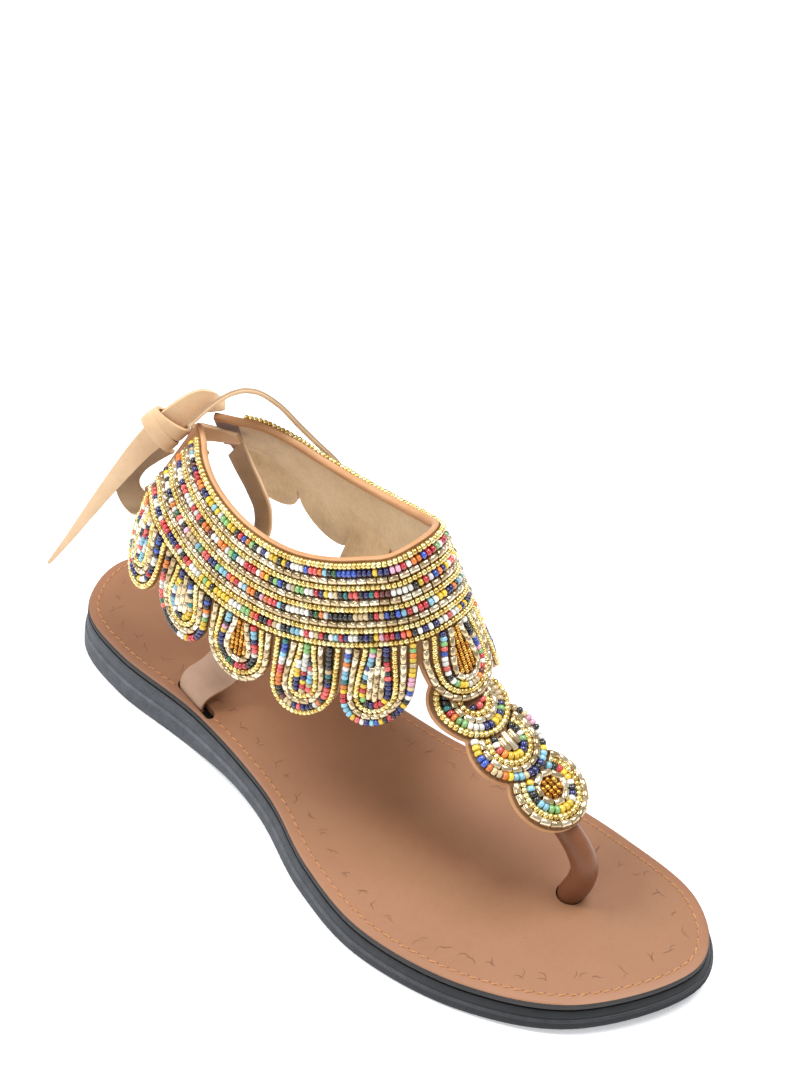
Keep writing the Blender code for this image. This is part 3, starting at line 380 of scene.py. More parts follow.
# Bead shapes: place along the thread in lengths, distance from it in radii
SEED_PROFILE = ((-0.30, 0.24), (-0.50, 0.52), (-0.41, 0.87), (-0.16, 1.0),
                (0.16, 1.0), (0.41, 0.87), (0.50, 0.52), (0.30, 0.24))
BUGLE_PROFILE = ((-0.42, 0.40), (-0.50, 0.55), (-0.49, 0.88), (-0.44, 1.0),
                 (0.44, 1.0), (0.49, 0.88), (0.50, 0.55), (0.42, 0.40))
BEAD_SIDES = 8
BEADS = {
    "gold": BeadKind(1.62, 2.14, -0.08, 0.12, SEED_PROFILE),
    "mixed": BeadKind(1.64, 2.40, 0.0, 0.08, SEED_PROFILE),
    "silver": BeadKind(3.10, 2.30, 0.04, 0.04, BUGLE_PROFILE),
    "amber": BeadKind(1.45, 1.60, 0.03, 0.12, SEED_PROFILE),
}
# How far a bead's middle stands off the leather in radii, and how beads vary along a row
BEAD_SEAT = 0.90
BEAD_NOD, BEAD_WIDE_SPREAD, BEAD_LONG_SPREAD = 0.5, (0.95, 1.04), (0.93, 1.0)
ROW_PITCH = {"gold": 2.2, "mixed": 2.6, "silver": 2.7}
BAND_ROWS = ("gold", "mixed", "silver", "gold", "mixed", "silver",
             "gold", "mixed", "silver", "gold", "mixed", "gold")
BAND_TOP = 0.35
PETAL_PITCH = {"gold": 1.9, "mixed": 2.3, "silver": 2.1}
PETAL_SIZE, MEDALLION_SIZE = 0.96, 1.10
PETAL_STYLES = (
    (("gold", "mixed", "silver", "gold"), "mixed"),
    (("mixed", "silver", "gold", "mixed"), "silver"),
    (("silver", "gold", "mixed", "silver"), "amber"),
)
BEAD_SLOTS = ("gold_beads", "colour_beads", "silver_beads")
# How far each row of a petal, and its core, draw in towards the top
PETAL_PINCH = (0.02, 0.10, 0.26, 0.50)
CORE_TAPER = 0.9
CORE_SHORTEST, PETAL_CORE_CLEAR, MEDALLION_CORE_CLEAR = 1.2, 0.3, 0.2
# The first medallion starts its rows earlier on the outer side
FIRST_SHOWN = 0.6
# Chance that a glass colour runs on to the next bead
SAME_AGAIN = 0.22

# Glass colours of the mixed rows, screen values, with how often each is picked
GLASS = {
    "white": ((242, 240, 234), 10), "navy": ((30, 34, 104), 6), "cobalt": ((44, 84, 190), 3),
    "sky": ((140, 198, 222), 4), "teal": ((26, 122, 124), 1), "red": ((205, 48, 56), 4),
    "coral": ((232, 96, 92), 3), "orange": ((240, 132, 44), 4), "yellow": ((244, 204, 52), 5),
    "leaf": ((132, 186, 112), 3), "green": ((24, 104, 58), 1), "black": ((18, 18, 22), 6),
    "pink": ((238, 176, 204), 1), "maroon": ((104, 40, 38), 1), "champagne": ((214, 190, 144), 2),
}


def outline_loop():
    points = [(0.0, HEEL_OUT)]
    points += [(row.lateral_along, row.lateral_out) for row in OUTLINE]
    points.append((100.0, TOE_OUT))
    points += [(row.medial_along, row.medial_out) for row in reversed(OUTLINE)]
    return [Vector((x * LENGTH, y * BALL_WIDTH)) / 100.0 for x, y in points]


def catmull(points, place):
    """Point on the smooth curve through evenly counted points, at a fractional index."""
    last = len(points) - 1
    index = min(max(int(math.floor(place)), 0), last - 1)
    share = place - index
    before = points[max(index - 1, 0)]
    start, end = points[index], points[index + 1]
    after = points[min(index + 2, last)]
    result = []
    for a, b, c, d in zip(before, start, end, after):
        bend = (c - a) * share
        bend += (2.0 * a - 5.0 * b + 4.0 * c - d) * share ** 2
        bend += (3.0 * b - a - 3.0 * c + d) * share ** 3
        result.append(b + 0.5 * bend)
    return Vector(result)


def smooth(share):
    share = min(max(share, 0.0), 1.0)
    return share * share * (3.0 - 2.0 * share)


def chord(radius, across):
    """Half a circle's height at a distance from its middle."""
    return math.sqrt(max(radius * radius - across * across, 0.0))


def circle(count):
    """Cosine and sine of evenly spaced angles."""
    angles = [2.0 * math.pi * index / count for index in range(count)]
    return [(math.cos(angle), math.sin(angle)) for angle in angles]


LOOP = outline_loop()
WRAPPED = LOOP[-1:] + LOOP + LOOP[:2]


def outline_point(turn, grow):
    """Point of the insole outline grown outwards; turn 0 is the heel, 0.5 the toe."""

    def at(share):
        return catmull(WRAPPED, 1.0 + (share % 1.0) * len(LOOP))

    step = 0.002
    run = at(turn + step) - at(turn - step)
    outward = Vector((run.y, -run.x)).normalized()
    return at(turn) + outward * grow


def origin_shift():
    """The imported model's origin lies under the middle of the outsole."""
    count = 2 * CAD_SECTIONS
    spots = [outline_point(index / count, SOLE_FLARE) for index in range(count)]
    across = [[spot[axis] for spot in spots] for axis in (0, 1)]
    return Vector([-0.5 * (min(values) + max(values)) for values in across] + [0.0])


SHIFT = origin_shift()


def to_frame(point):
    return (Vector(point) + SHIFT) * MM


def height_at(rows, along):
    """Smooth height over unevenly spaced rows."""
    index = min(max(bisect_left([row.along for row in rows], along) - 1, 0), len(rows) - 2)

    def slope(at):
        low, high = max(at - 1, 0), min(at + 1, len(rows) - 1)
        return (rows[high].high - rows[low].high) / (rows[high].along - rows[low].along)

    start, end = rows[index], rows[index + 1]
    span = end.along - start.along
    share = min(max((along - start.along) / span, 0.0), 1.0)
    lead = share * (1.0 - share) ** 2 * slope(index) * span
    trail = share * share * (share - 1.0) * slope(index + 1) * span
    return start.high + (end.high - start.high) * smooth(share) + lead + trail


def ground(along):
    """Underside of the sole: flat heel and ball, raised arch, toe spring and heel bevel."""
    share = 100.0 * along / LENGTH
    if share < HEEL_BEVEL:
        return HEEL_BEVEL_RISE * ((HEEL_BEVEL - share) / HEEL_BEVEL) ** 2
    if ARCH_BACK < share < ARCH_FRONT:
        return ARCH_RISE * math.sin(math.pi * (share - ARCH_BACK) / (ARCH_FRONT - ARCH_BACK)) ** 2
    if share > SPRING_START:
        return SPRING_RISE * ((share - SPRING_START) / (100.0 - SPRING_START)) ** 2
    return 0.0


def footbed(along):
    return height_at(FOOTBED, 100.0 * along / LENGTH)


def midsole_top(along):
    return footbed(along) - INSOLE_THICK - GAP


def parting(along):
    low = ground(along)
    return low + OUTSOLE_SHARE * (midsole_top(along) - low)


def foot_frame(along, side, high):
    """Turn a point about the upper's middle line into the sole's frame."""
    return Matrix.Rotation(UPPER_TURN, 3, "Z") @ Vector((along, side, high))


class Line:
    """Points joined by straight runs and measured along their length."""

    def __init__(self, points):
        self.points = points
        self.lengths = [0.0]
        for first, second in zip(points, points[1:]):
            self.lengths.append(self.lengths[-1] + (second - first).length)
        self.long = self.lengths[-1]

    def find(self, length):
        """Number of the point that ends the run at a length, and the share of that run."""
        index = min(max(bisect_left(self.lengths, length), 1), len(self.points) - 1)
        span = max(self.lengths[index] - self.lengths[index - 1], SHORTEST_RUN)
        return index, (length - self.lengths[index - 1]) / span

    def spot(self, length):
        index, share = self.find(length)
        return self.points[index - 1].lerp(self.points[index], share)

    def run(self, length):
        index, _ = self.find(length)
        return (self.points[index] - self.points[index - 1]).normalized()


def collar_rows():
    rows = []
    for mirror in (-1.0, 1.0):
        half = []
        for row in COLLAR:
            swell = max(mirror, 0.0) * row.swell
            lean, rise = max(-mirror, 0.0) * row.lean, max(-mirror, 0.0) * row.rise
            half.append((
                row.top_along * LENGTH / 100.0,
                mirror * (row.top_half * BALL_WIDTH / 100.0 + lean),
                row.top_high * INSTEP_HIGH / 100.0 + rise,
                row.low_along * LENGTH / 100.0 + SWELL_FORWARD * swell,
                mirror * (row.low_half * BALL_WIDTH / 100.0 + swell),
                row.low_high * INSTEP_HIGH / 100.0 + rise,
            ))
        rows += half if mirror < 0.0 else list(reversed(half))[1:]
    return rows


class Collar:
    """Outer face of the collar: reach runs along its lowest bead row, drop runs down from the top."""

    SAMPLES = 400

    def __init__(self):
        self.rows = collar_rows()
        self.places = [index * (len(self.rows) - 1) / self.SAMPLES for index in range(self.SAMPLES + 1)]
        self.low = Line([Vector(catmull(self.rows, place)[3:]) for place in self.places])
        self.half = 0.5 * self.low.long
        self.bead_half = self.half - TAB_REACH
        self.pitch = 2.0 * self.bead_half / PETALS

    def edges(self, reach):
        index, share = self.low.find(min(max(reach + self.half, 0.0), self.low.long))
        place = self.places[index - 1] + share * (self.places[index] - self.places[index - 1])
        values = catmull(self.rows, place)
        return Vector(values[:3]), Vector(values[3:])

    def bead_reach(self, share, drop):
        """Reach of a bead row's point; share runs from -1 to 1, and the top rows start later."""
        return share * (self.bead_half - TAB_SLANT * (1.0 - drop / BAND_DROP)) + PETAL_SHIFT

    def petal_place(self, reach):
        """Fractional number of the petal at a reach."""
        return min(max((reach - PETAL_SHIFT) / self.pitch + PETALS // 2, 0.0), PETALS - 1.0)

    def petal_middle(self, index):
        return (index - PETALS // 2) * self.pitch + PETAL_SHIFT

    def run(self, reach):
        """Direction of the lowest bead row."""
        step = 2.0
        return (self.edges(reach + step)[1] - self.edges(reach - step)[1]).normalized()

    def hang(self, reach):
        """Direction in which the leather hangs from the lowest bead row."""
        run = self.run(reach)
        outward = Vector((run.y, -run.x, 0.0)).normalized()
        angle = math.radians(catmull(PETAL_ROWS, self.petal_place(reach))[1])
        return outward * math.sin(angle) - Vector((0.0, 0.0, math.cos(angle)))

    def root(self, reach, depth):
        return self.edges(reach)[1] + self.hang(reach) * depth

    def spot(self, reach, drop):
        """Point of the face; below the slits each petal hangs its own way and springs flat."""
        if drop <= BAND_DROP:
            top, low = self.edges(reach)
            return top.lerp(low, drop / BAND_DROP)
        below = drop - BAND_DROP - SLIT_TOP
        if below <= 0.0:
            return self.root(reach, drop - BAND_DROP)
        middle = self.petal_middle(round(self.petal_place(reach)))
        root = self.root(reach, SLIT_TOP)
        flat = self.root(middle, SLIT_TOP) + self.run(middle) * (reach - middle)
        root = root.lerp(flat, FLATTEN * min(below / FLATTEN_OVER, 1.0))
        return root + self.hang(middle) * below

    def point(self, reach, drop, lift=0.0):
        """Point over the leather, lifted outwards."""
        spot = self.spot(reach, drop)
        if lift:
            step = 0.5
            inner, outer = reach - step, reach + step
            if drop > BAND_DROP:
                middle = self.petal_middle(round(self.petal_place(reach)))
                inner = max(inner, middle - 0.5 * self.pitch + step)
                outer = min(outer, middle + 0.5 * self.pitch - step)
            base = drop if drop > BAND_DROP else min(drop, BAND_DROP - step)
            run = self.spot(outer, base) - self.spot(inner, base)
            fall = self.spot(reach, base + step) - self.spot(reach, base)
            spot = spot + fall.cross(run).normalized() * lift
        return foot_frame(*spot)


class TStrap:
    """Top face of the front strap: q runs down its middle line, p runs across it."""

    SAMPLES = 240

    def __init__(self):
        last = len(T_STRAP) - 1
        self.line = Line([catmull(T_STRAP, last * index / self.SAMPLES) for index in range(self.SAMPLES + 1)])

    def spot(self, q):
        return self.line.spot(min(max(q, 0.0), self.line.long))

    def point(self, p, q, lift=0.0):
        step = 1.0
        run = (self.spot(q + step) - self.spot(q - step)).normalized()
        up = Vector((-run.z, 0.0, run.x))
        ease = smooth((q - T_CROWN_FROM) / (T_CROWN_TO - T_CROWN_FROM))
        crown = T_CROWN_TOP + (T_CROWN_LOW - T_CROWN_TOP) * ease
        spot = self.spot(q) + Vector((0.0, p, 0.0)) + up * (lift - crown * p * p)
        return foot_frame(*spot)

    def half_width(self, q):
        """Scalloped half width: a plain neck above, then a disc behind each medallion."""
        half = T_TOP_HALF + (T_NECK_HALF - T_TOP_HALF) * min(q / T_NECK_AT, 1.0)
        if MEDALLION_ROWS[0].at < q < MEDALLION_ROWS[-1].at:
            half = T_WAIST_HALF
        elif q >= MEDALLION_ROWS[-1].at:
            half = T_END_HALF
        discs = [chord(row.radius + MEDALLION_RIM, q - row.at) for row in MEDALLION_ROWS]
        return max([half] + discs)


def side_strap_point(seat, share, across):
    """Point of a side strap's middle face, rising from its slot in the footbed to the collar."""
    rise, forward, inward, half = catmull(SIDE_STRAP, share * (len(SIDE_STRAP) - 1))
    side_sign = math.copysign(1.0, seat.side)
    ease = smooth(rise / SIDE_STRAP[-1].rise)
    head_side = side_sign * seat.head_half
    side = seat.side + (head_side - seat.side) * ease - side_sign * inward * seat.bend
    edge = across * half
    wrap = side_sign * (seat.turn * edge * (1.0 - ease) - STRAP_WRAP * edge * edge * ease)
    high = STRAP_FOOT_HIGH + rise - STRAP_TILT * edge * ease
    return foot_frame(seat.along + forward + edge, side + wrap, high)


def route_run(route, place):
    """Chord of a route about a fractional index."""
    step = 0.05
    return catmull(route, min(place + step, len(route) - 1)) - catmull(route, max(place - step, 0.0))


def strip_frame(route, widths, place):
    """Middle point, direction and width direction of a strip whose width turns along its route."""
    run = route_run(route, place)
    hint = Vector(widths[0]).lerp(Vector(widths[1]), place / (len(route) - 1))
    across = (hint - run * (hint.dot(run) / run.length_squared)).normalized()
    return catmull(route, place), run.normalized(), across


# Materials

def linear(screen):
    """Screen colour from 0 to 255 as linear light."""
    values = []
    for value in screen:
        share = value / 255.0
        values.append(share / 12.92 if share <= 0.04045 else ((share + 0.055) / 1.055) ** 2.4)
    return (*values, 1.0)


def grey(value):
    return (value, value, value, 1.0)


class Finish:
    """Node material: a principled shader with helpers for colour, roughness and relief."""

    def __init__(self, name, roughness, metallic=0.0, coat=0.0, sheen=0.0, specular=0.5):
        self.material = bpy.data.materials.new(name)
        self.material.use_nodes = True
        self.nodes = self.material.node_tree.nodes
        self.links = self.material.node_tree.links
        self.shader = self.nodes["Principled BSDF"]
        self.fill(self.shader, {
            "Roughness": roughness, "Metallic": metallic, "Coat Weight": coat, "Coat Roughness": COAT_GLOSS,
            "Sheen Weight": sheen, "Specular IOR Level": specular,
        })
        self.coords = self.node("TexCoord")["Object"]

    def fill(self, made, sockets):
        """Give each named socket of a node its constant or its link."""
        for name, value in sockets.items():
            if isinstance(value, bpy.types.NodeSocket):
                self.links.new(value, made.inputs[name])
            else:
                made.inputs[name].default_value = value

    def node(self, kind, sockets=None):
        """Outputs of a new node."""
        made = self.nodes.new("ShaderNode" + kind)
        self.fill(made, sockets or {})
        return made.outputs

    def noise(self, scale, detail=3.0, rough=0.55, stretch=None):
        source = self.coords
        if stretch:
            source = self.node("Mapping", {"Vector": source, "Scale": stretch})["Vector"]
        sockets = {"Vector": source, "Scale": scale, "Detail": detail, "Roughness": rough}
        return self.node("TexNoise", sockets)["Fac"]

    def cells(self, scale):
        made = self.nodes.new("ShaderNodeTexVoronoi")
        made.feature = "DISTANCE_TO_EDGE"
        self.fill(made, {"Vector": self.coords, "Scale": scale})
        return made.outputs["Distance"]

    def along(self, start, end):
        """Share of the way from one place to another along the shoe, in metres."""
        split = self.node("SeparateXYZ", {"Vector": self.coords})
        return self.node("MapRange", {"Value": split["X"], "From Min": start, "From Max": end})["Result"]

    def island(self):
        return self.node("NewGeometry")["Random Per Island"]

    def ramp(self, factor, places, colours):
        made = self.nodes.new("ShaderNodeValToRGB")
        elements = made.color_ramp.elements
        while len(elements) < len(places):
            elements.new(0.5)
        for element, place, colour in zip(elements, places, colours):
            element.position = place
            element.color = colour
        self.links.new(factor, made.inputs["Fac"])
        return made.outputs["Color"]

    def tones(self, factor, places, screens):
        return self.ramp(factor, places, [linear(screen) for screen in screens])

    def paint(self, tone, *veils):
        """Base colour: a tone with veils multiplied over it."""
        for veil in veils:
            made = self.nodes.new("ShaderNodeMix")
            made.data_type = "RGBA"
            made.blend_type = "MULTIPLY"
            made.inputs[MIX_SHARE].default_value = 1.0
            self.links.new(tone, made.inputs[MIX_FIRST])
            self.links.new(veil, made.inputs[MIX_SECOND])
            tone = made.outputs[MIX_RESULT]
        self.fill(self.shader, {"Base Color": tone})

    def roughness(self, factor, gloss):
        sockets = {"Value": factor, "To Min": gloss - GLOSS_BELOW, "To Max": gloss + GLOSS_ABOVE}
        self.fill(self.shader, {"Roughness": self.node("MapRange", sockets)["Result"]})

    def relief(self, *layers):
        """Stack of bumps from (height, strength, depth in millimetres)."""
        above = {}
        for height, strength, depth in layers:
            sockets = {"Height": height, "Strength": strength, "Distance": depth * MM}
            above = {"Normal": self.node("Bump", {**sockets, **above})["Normal"]}
        self.fill(self.shader, above)


def leather(name, screens, gloss, patch=26.0, grain=0.35, pores=0.93):
    """Smooth leather: cloudy colour, fine pores, a dull gloss."""
    made = Finish(name, gloss, specular=0.4)
    tone = made.tones(made.noise(patch, 4.0, 0.6), (0.30, 0.5, 0.72), screens)
    fleck = made.noise(520.0, 3.0, 0.7)
    speck = made.ramp(fleck, (0.28, 0.46), ((pores, pores - 0.01, pores - 0.02, 1.0), WHITE))
    made.paint(tone, speck)
    made.roughness(fleck, gloss)
    made.relief((made.cells(820.0), grain, 0.16), (made.noise(160.0, 3.0, 0.6), grain, 0.35))
    return made.material


def suede(name, screens):
    """Napped lining with faint stains."""
    made = Finish(name, 0.92, sheen=0.25, specular=0.2)
    tone = made.tones(made.noise(34.0, 5.0, 0.65), (0.30, 0.48, 0.75), screens)
    nap = made.noise(900.0, 3.0, 0.75, (1.0, 1.0, 0.4))
    made.paint(tone, made.ramp(nap, (0.25, 0.6), ((0.84, 0.82, 0.79, 1.0), WHITE)))
    made.relief((nap, 0.5, 0.25))
    return made.material


def rubber(name, screens, speckle, gloss, toe=1.0):
    """Moulded rubber with a mottled surface and painted shade that darkens it towards the toe."""
    made = Finish(name, gloss, specular=0.35)
    mottle = made.noise(190.0, 6.0, 0.72)
    tone = made.tones(mottle, (0.34, 0.66), screens)
    dots = made.noise(1300.0, 2.0, 0.6)
    dust = made.ramp(dots, (0.52, 0.70), (WHITE, grey(speckle)))
    # Painted shade: the rubber darkens towards the toe, down to the toe factor
    painted_toe_shade = made.ramp(made.along(*TOE_SHADE_SPAN), (0.0, 1.0), (WHITE, grey(toe)))
    made.paint(tone, dust, painted_toe_shade)
    made.roughness(mottle, gloss)
    made.relief((dots, 0.35, 0.2), (mottle, 0.3, 0.5))
    return made.material


def metal_bead(name, screens, gloss):
    """Metal-lined glass: each bead has a shade of its own."""
    made = Finish(name, gloss, metallic=0.82, coat=0.4, specular=0.6)
    tone = made.tones(made.island(), (0.0, 0.45, 1.0), screens)
    made.paint(tone, made.ramp(made.noise(600.0), (0.3, 0.6), ((0.86, 0.84, 0.8, 1.0), WHITE)))
    return made.material


def glass_bead(name, screen):
    """Opaque glass in one colour, a little lighter or darker from bead to bead."""
    made = Finish(name, 0.10, coat=0.6, specular=0.6)
    base = linear(screen)[:3]
    dark = tuple(0.72 * value for value in base) + (1.0,)
    light = tuple(min(1.0, 1.12 * value + 0.01) for value in base) + (1.0,)
    tone = made.ramp(made.island(), (0.0, 1.0), (dark, light))
    made.paint(tone, made.ramp(made.noise(700.0), (0.3, 0.6), (grey(0.88), WHITE)))
    return made.material


def thread_finish(name, screens):
    made = Finish(name, 0.7, sheen=0.2)
    twist = made.noise(1500.0, 2.0, 0.6)
    made.paint(made.tones(twist, (0.35, 0.65), screens))
    made.relief((twist, 0.4, 0.15))
    return made.material


def floor_finish(name):
    made = Finish(name, 0.85, specular=0.1)
    made.paint(made.ramp(made.noise(3.0), (0.3, 0.7), ((0.90, 0.905, 0.915, 1.0), grey(0.93))))
    made.fill(made.shader, {"Emission Color": FLOOR_GLOW, "Emission Strength": FLOOR_GLOW_STRENGTH})
    return made.material


def make_finishes():
    field = ((140, 98, 70), (146, 103, 74), (153, 110, 81))
    margin = ((142, 98, 70), (149, 104, 75), (157, 112, 83))
    cut_edge = ((44, 42, 42), (54, 52, 52), (66, 63, 62))
    tie_front = ((208, 170, 130), (220, 184, 144), (230, 196, 158))
    # A darker copy of the tie leather: painted shade for the strips' shaded side
    tie_back = ((142, 113, 84), (160, 131, 100), (176, 147, 116))
    made = {
        "field": leather("insole_field", field, 0.46, 14.0, 0.25, 0.96),
        "margin": leather("insole_margin", margin, 0.48, 14.0, 0.3, 0.95),
        "cut_edge": leather("insole_cut_edge", cut_edge, 0.75, 26.0, 0.8, 0.7),
        "wall": leather("upper_tan", ((122, 84, 48), (142, 100, 62), (160, 116, 76)), 0.55),
        "edge": leather("rolled_edge", ((176, 126, 84), (196, 146, 102), (212, 166, 124)), 0.48),
        "tab": leather("tab_brown", ((136, 92, 68), (156, 110, 84), (170, 126, 100)), 0.52),
        "strap": leather("strap_mauve", ((152, 120, 98), (168, 136, 114), (182, 152, 130)), 0.6),
        "post": leather("post_brown", ((90, 51, 30), (108, 64, 38), (128, 80, 51)), 0.38),
        "tie": leather("tie_tan", tie_front, 0.58, 40.0),
        "tie_back": leather("tie_back", tie_back, 0.65, 40.0),
        "lining": suede("suede_lining", ((190, 163, 126), (216, 190, 150), (228, 205, 168))),
        "midsole": rubber("midsole_rubber", ((60, 63, 68), (80, 83, 89)), 1.25, 0.6, 0.2),
        "outsole": rubber("outsole_rubber", ((62, 65, 70), (84, 87, 93)), 1.3, 0.62, 0.2),
        # Lighter rubber for the outsole's ledge: a painted highlight
        "ridge": rubber("outsole_ridge", ((82, 85, 90), (106, 109, 115)), 1.1, 0.5, 0.3),
        # Near-black rubber for the midsole's top: painted shade seen through the insole's slots and post hole
        "dark": rubber("glue_dark", ((22, 20, 20), (34, 31, 30)), 1.2, 0.8),
        "stitch": thread_finish("stitch_thread", ((166, 108, 62), (198, 142, 90))),
        # Darker leather for the stamped marks, also used as painted shade in the stitches' needle holes
        "stamp": leather("stamped_line", ((104, 68, 48), (116, 78, 56), (126, 88, 66)), 0.6),
        "gold": metal_bead("gold_bead", ((212, 176, 92), (246, 220, 136), (255, 246, 192)), 0.22),
        "silver": metal_bead("silver_bead", ((180, 156, 116), (218, 196, 156), (246, 234, 208)), 0.20),
        "amber": metal_bead("amber_bead", ((164, 104, 24), (214, 150, 46), (244, 196, 96)), 0.22),
        "floor": floor_finish("studio_floor"),
    }
    for name, (screen, _) in GLASS.items():
        made[name] = glass_bead(f"glass_{name}", screen)
    return made


# Mesh helpers

def place_mesh(name, verts, faces, finishes):
    data = bpy.data.meshes.new(name)
    data.from_pydata(verts, [], faces)
    for finish in finishes:
        data.materials.append(finish)
    made = bpy.data.objects.new(name, data)
    bpy.context.scene.collection.objects.link(made)
    return made


def add_piece(name, verts, faces, finishes, slot, nodes=(), indices=None, smooth_angle=FINE_ANGLE):
    """One visible piece from drawn points, riding with the shoe."""
    piece = place_mesh(name, [to_frame(point) for point in verts], faces, finishes)
    if indices:
        piece.data.polygons.foreach_set("material_index", indices)
    piece.data.shade_smooth()
    piece.data.set_sharp_from_angle(angle=math.radians(smooth_angle))
    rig.ride(piece, BODY)
    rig.slot(piece, slot)
    if nodes:
        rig.replaces(piece, *nodes)
    return piece


def grid_faces(rows, columns):
    """Quads over a grid of points stored row by row."""
    faces = []
    for row in range(rows - 1):
        for column in range(columns - 1):
            corner = row * columns + column
            faces.append((corner, corner + 1, corner + columns + 1, corner + columns))
    return faces


def band_faces(rings, around, start=0):
    """Quads between closed rings of points."""
    faces = []
    for ring in range(rings - 1):
        for index in range(around):
            near = start + ring * around + index
            beside = start + ring * around + (index + 1) % around
            faces.append((near, beside, beside + around, near + around))
    return faces


def tube_faces(rings, around, start=0):
    """Quads between closed rings of points, then a cap at each end."""
    last = start + (rings - 1) * around
    caps = [tuple(reversed(range(start, start + around))), tuple(range(last, last + around))]
    return band_faces(rings, around, start) + caps


def flipped(faces):
    return [tuple(reversed(face)) for face in faces]


def shell(outer, inner, faces):
    """Closed sheet from two faces of matching points; the last faces are its rim."""
    count = len(outer)
    edges = {}
    for face in faces:
        for first, second in zip(face, face[1:] + face[:1]):
            key = (min(first, second), max(first, second))
            edges.setdefault(key, []).append((first, second))
    back = [tuple(count + corner for corner in face) for face in flipped(faces)]
    rim = []
    for uses in edges.values():
        if len(uses) == 1:
            first, second = uses[0]
            rim.append((second, first, first + count, second + count))
    return outer + inner, list(faces) + back + rim, len(rim)


def add_sheet(name, rows, columns, faces_at, finishes, sides=(0, 1)):
    """Leather sheet over a grid; faces_at(row, column) gives its outer and inner point."""
    outer, inner = [], []
    for row in range(rows + 1):
        for column in range(columns + 1):
            front, back = faces_at(row, column)
            outer.append(front)
            inner.append(back)
    verts, faces, rim = shell(outer, inner, grid_faces(rows + 1, columns + 1))
    count = rows * columns
    indices = [sides[0]] * count + [sides[1]] * count + [2] * rim
    add_piece(name, verts, faces, finishes, "upper_leather", ("upper",), indices, SHEET_ANGLE)


def ring_stack(rings):
    """Closed solid through rings of the sole's outline, capped across the first and the last."""
    around = SOLE_AROUND
    verts = []
    for grow, height in rings:
        spots = [outline_point(index / around, grow) for index in range(around)]
        verts += [(spot.x, spot.y, height(spot.x)) for spot in spots]
    faces = band_faces(len(rings), around)
    for start, upward in ((0, False), ((len(rings) - 1) * around, True)):
        for section in range(SOLE_SECTIONS):
            far = (around - section) % around
            cap = (start + section, start + section + 1, start + around - section - 1, start + far)
            cap = tuple(dict.fromkeys(cap))
            faces.append(cap if upward else tuple(reversed(cap)))
    return verts, faces


def offset(height, rise):
    return lambda along: height(along) + rise


# Camera, light and floor

def add_camera():
    turn, rise, roll = CAMERA_TURN, CAMERA_RISE, CAMERA_ROLL
    back = Vector((math.sin(turn) * math.cos(rise), -math.cos(turn) * math.cos(rise), math.sin(rise)))
    level = Vector((math.cos(turn), math.sin(turn), 0.0))
    above = back.cross(level)
    right = level * math.cos(roll) + above * math.sin(roll)
    up = above * math.cos(roll) - level * math.sin(roll)
    eye = to_frame(CAMERA_TARGET) + back * CAMERA_AWAY
    lens = bpy.data.cameras.new("photo_camera")
    lens.sensor_fit = "HORIZONTAL"
    lens.sensor_width = CAMERA_SENSOR
    lens.lens = CAMERA_LENS
    lens.clip_start = CAMERA_CLIP
    camera = bpy.data.objects.new("photo_camera", lens)
    rows = [(right[axis], up[axis], back[axis], eye[axis]) for axis in range(3)]
    camera.matrix_world = Matrix((*rows, (0.0, 0.0, 0.0, 1.0)))
    bpy.context.scene.collection.objects.link(camera)
    bpy.context.scene.camera = camera


def add_area_light(name, place, target, size, power):
    lamp = bpy.data.lights.new(name, "AREA")
    lamp.shape = "DISK"
    lamp.size = size
    lamp.energy = power
    light = bpy.data.objects.new(name, lamp)
    light.location = place
    light.rotation_euler = (Vector(target) - Vector(place)).to_track_quat("-Z", "Y").to_euler()
    bpy.context.scene.collection.objects.link(light)


def add_studio(finish):
    world = bpy.data.worlds.new("studio")
    world.use_nodes = True
    backdrop = world.node_tree.nodes["Background"]
    backdrop.inputs["Color"].default_value = BACKDROP
    backdrop.inputs["Strength"].default_value = BACKDROP_STRENGTH
    bpy.context.scene.world = world
    for light in LIGHTS:
        add_area_light(*light)
    half = FLOOR_HALF
    corners = ((-half, -half, 0.0), (half, -half, 0.0), (half, half, 0.0), (-half, half, 0.0))
    floor = place_mesh("floor", corners, [(0, 1, 2, 3)], [finish])
    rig.stage(floor)
    bpy.context.scene.view_settings.view_transform = "Standard"


# Tie

def strip(name, route, widths, finishes, nodes, pointed=False, curl=TIE_CURL):
    """Flat leather strip with rounded edges along a route; returns the piece and its middle line."""
    samples = 6 * (len(route) - 1)
    verts, path = [], []
    for index in range(samples + 1):
        spot, run, across = strip_frame(route, widths, (len(route) - 1) * index / samples)
        out = run.cross(across)
        half = 0.5 * TIE_WIDTH
        if pointed:
            share = index / samples
            half *= min(1.0, TAIL_TIP + TAIL_TAPER * (1.0 - share))
            half *= min(1.0, TAIL_FOLD + (1.0 - TAIL_FOLD) * share / TAIL_FOLD_OVER)
        path.append(to_frame(foot_frame(*spot)))
        for side, depth in STRIP_SECTION:
            cup = curl * (side * side - CUP_LEVEL) * half / (0.5 * TIE_WIDTH)
            verts.append(foot_frame(*(spot + across * (side * half) + out * (depth * TIE_THICK + cup))))
    count = len(STRIP_SECTION)
    faces = tube_faces(samples + 1, count)
    # One side of the strip takes the first finish and the other the second; the darker tie leather among them is
    # painted shade
    indices = [0 if face % count >= STRIP_BACK else 1 for face in range(samples * count)] + [0, 0]
    return add_piece(name, verts, faces, finishes, "tie_leather", nodes, indices), path


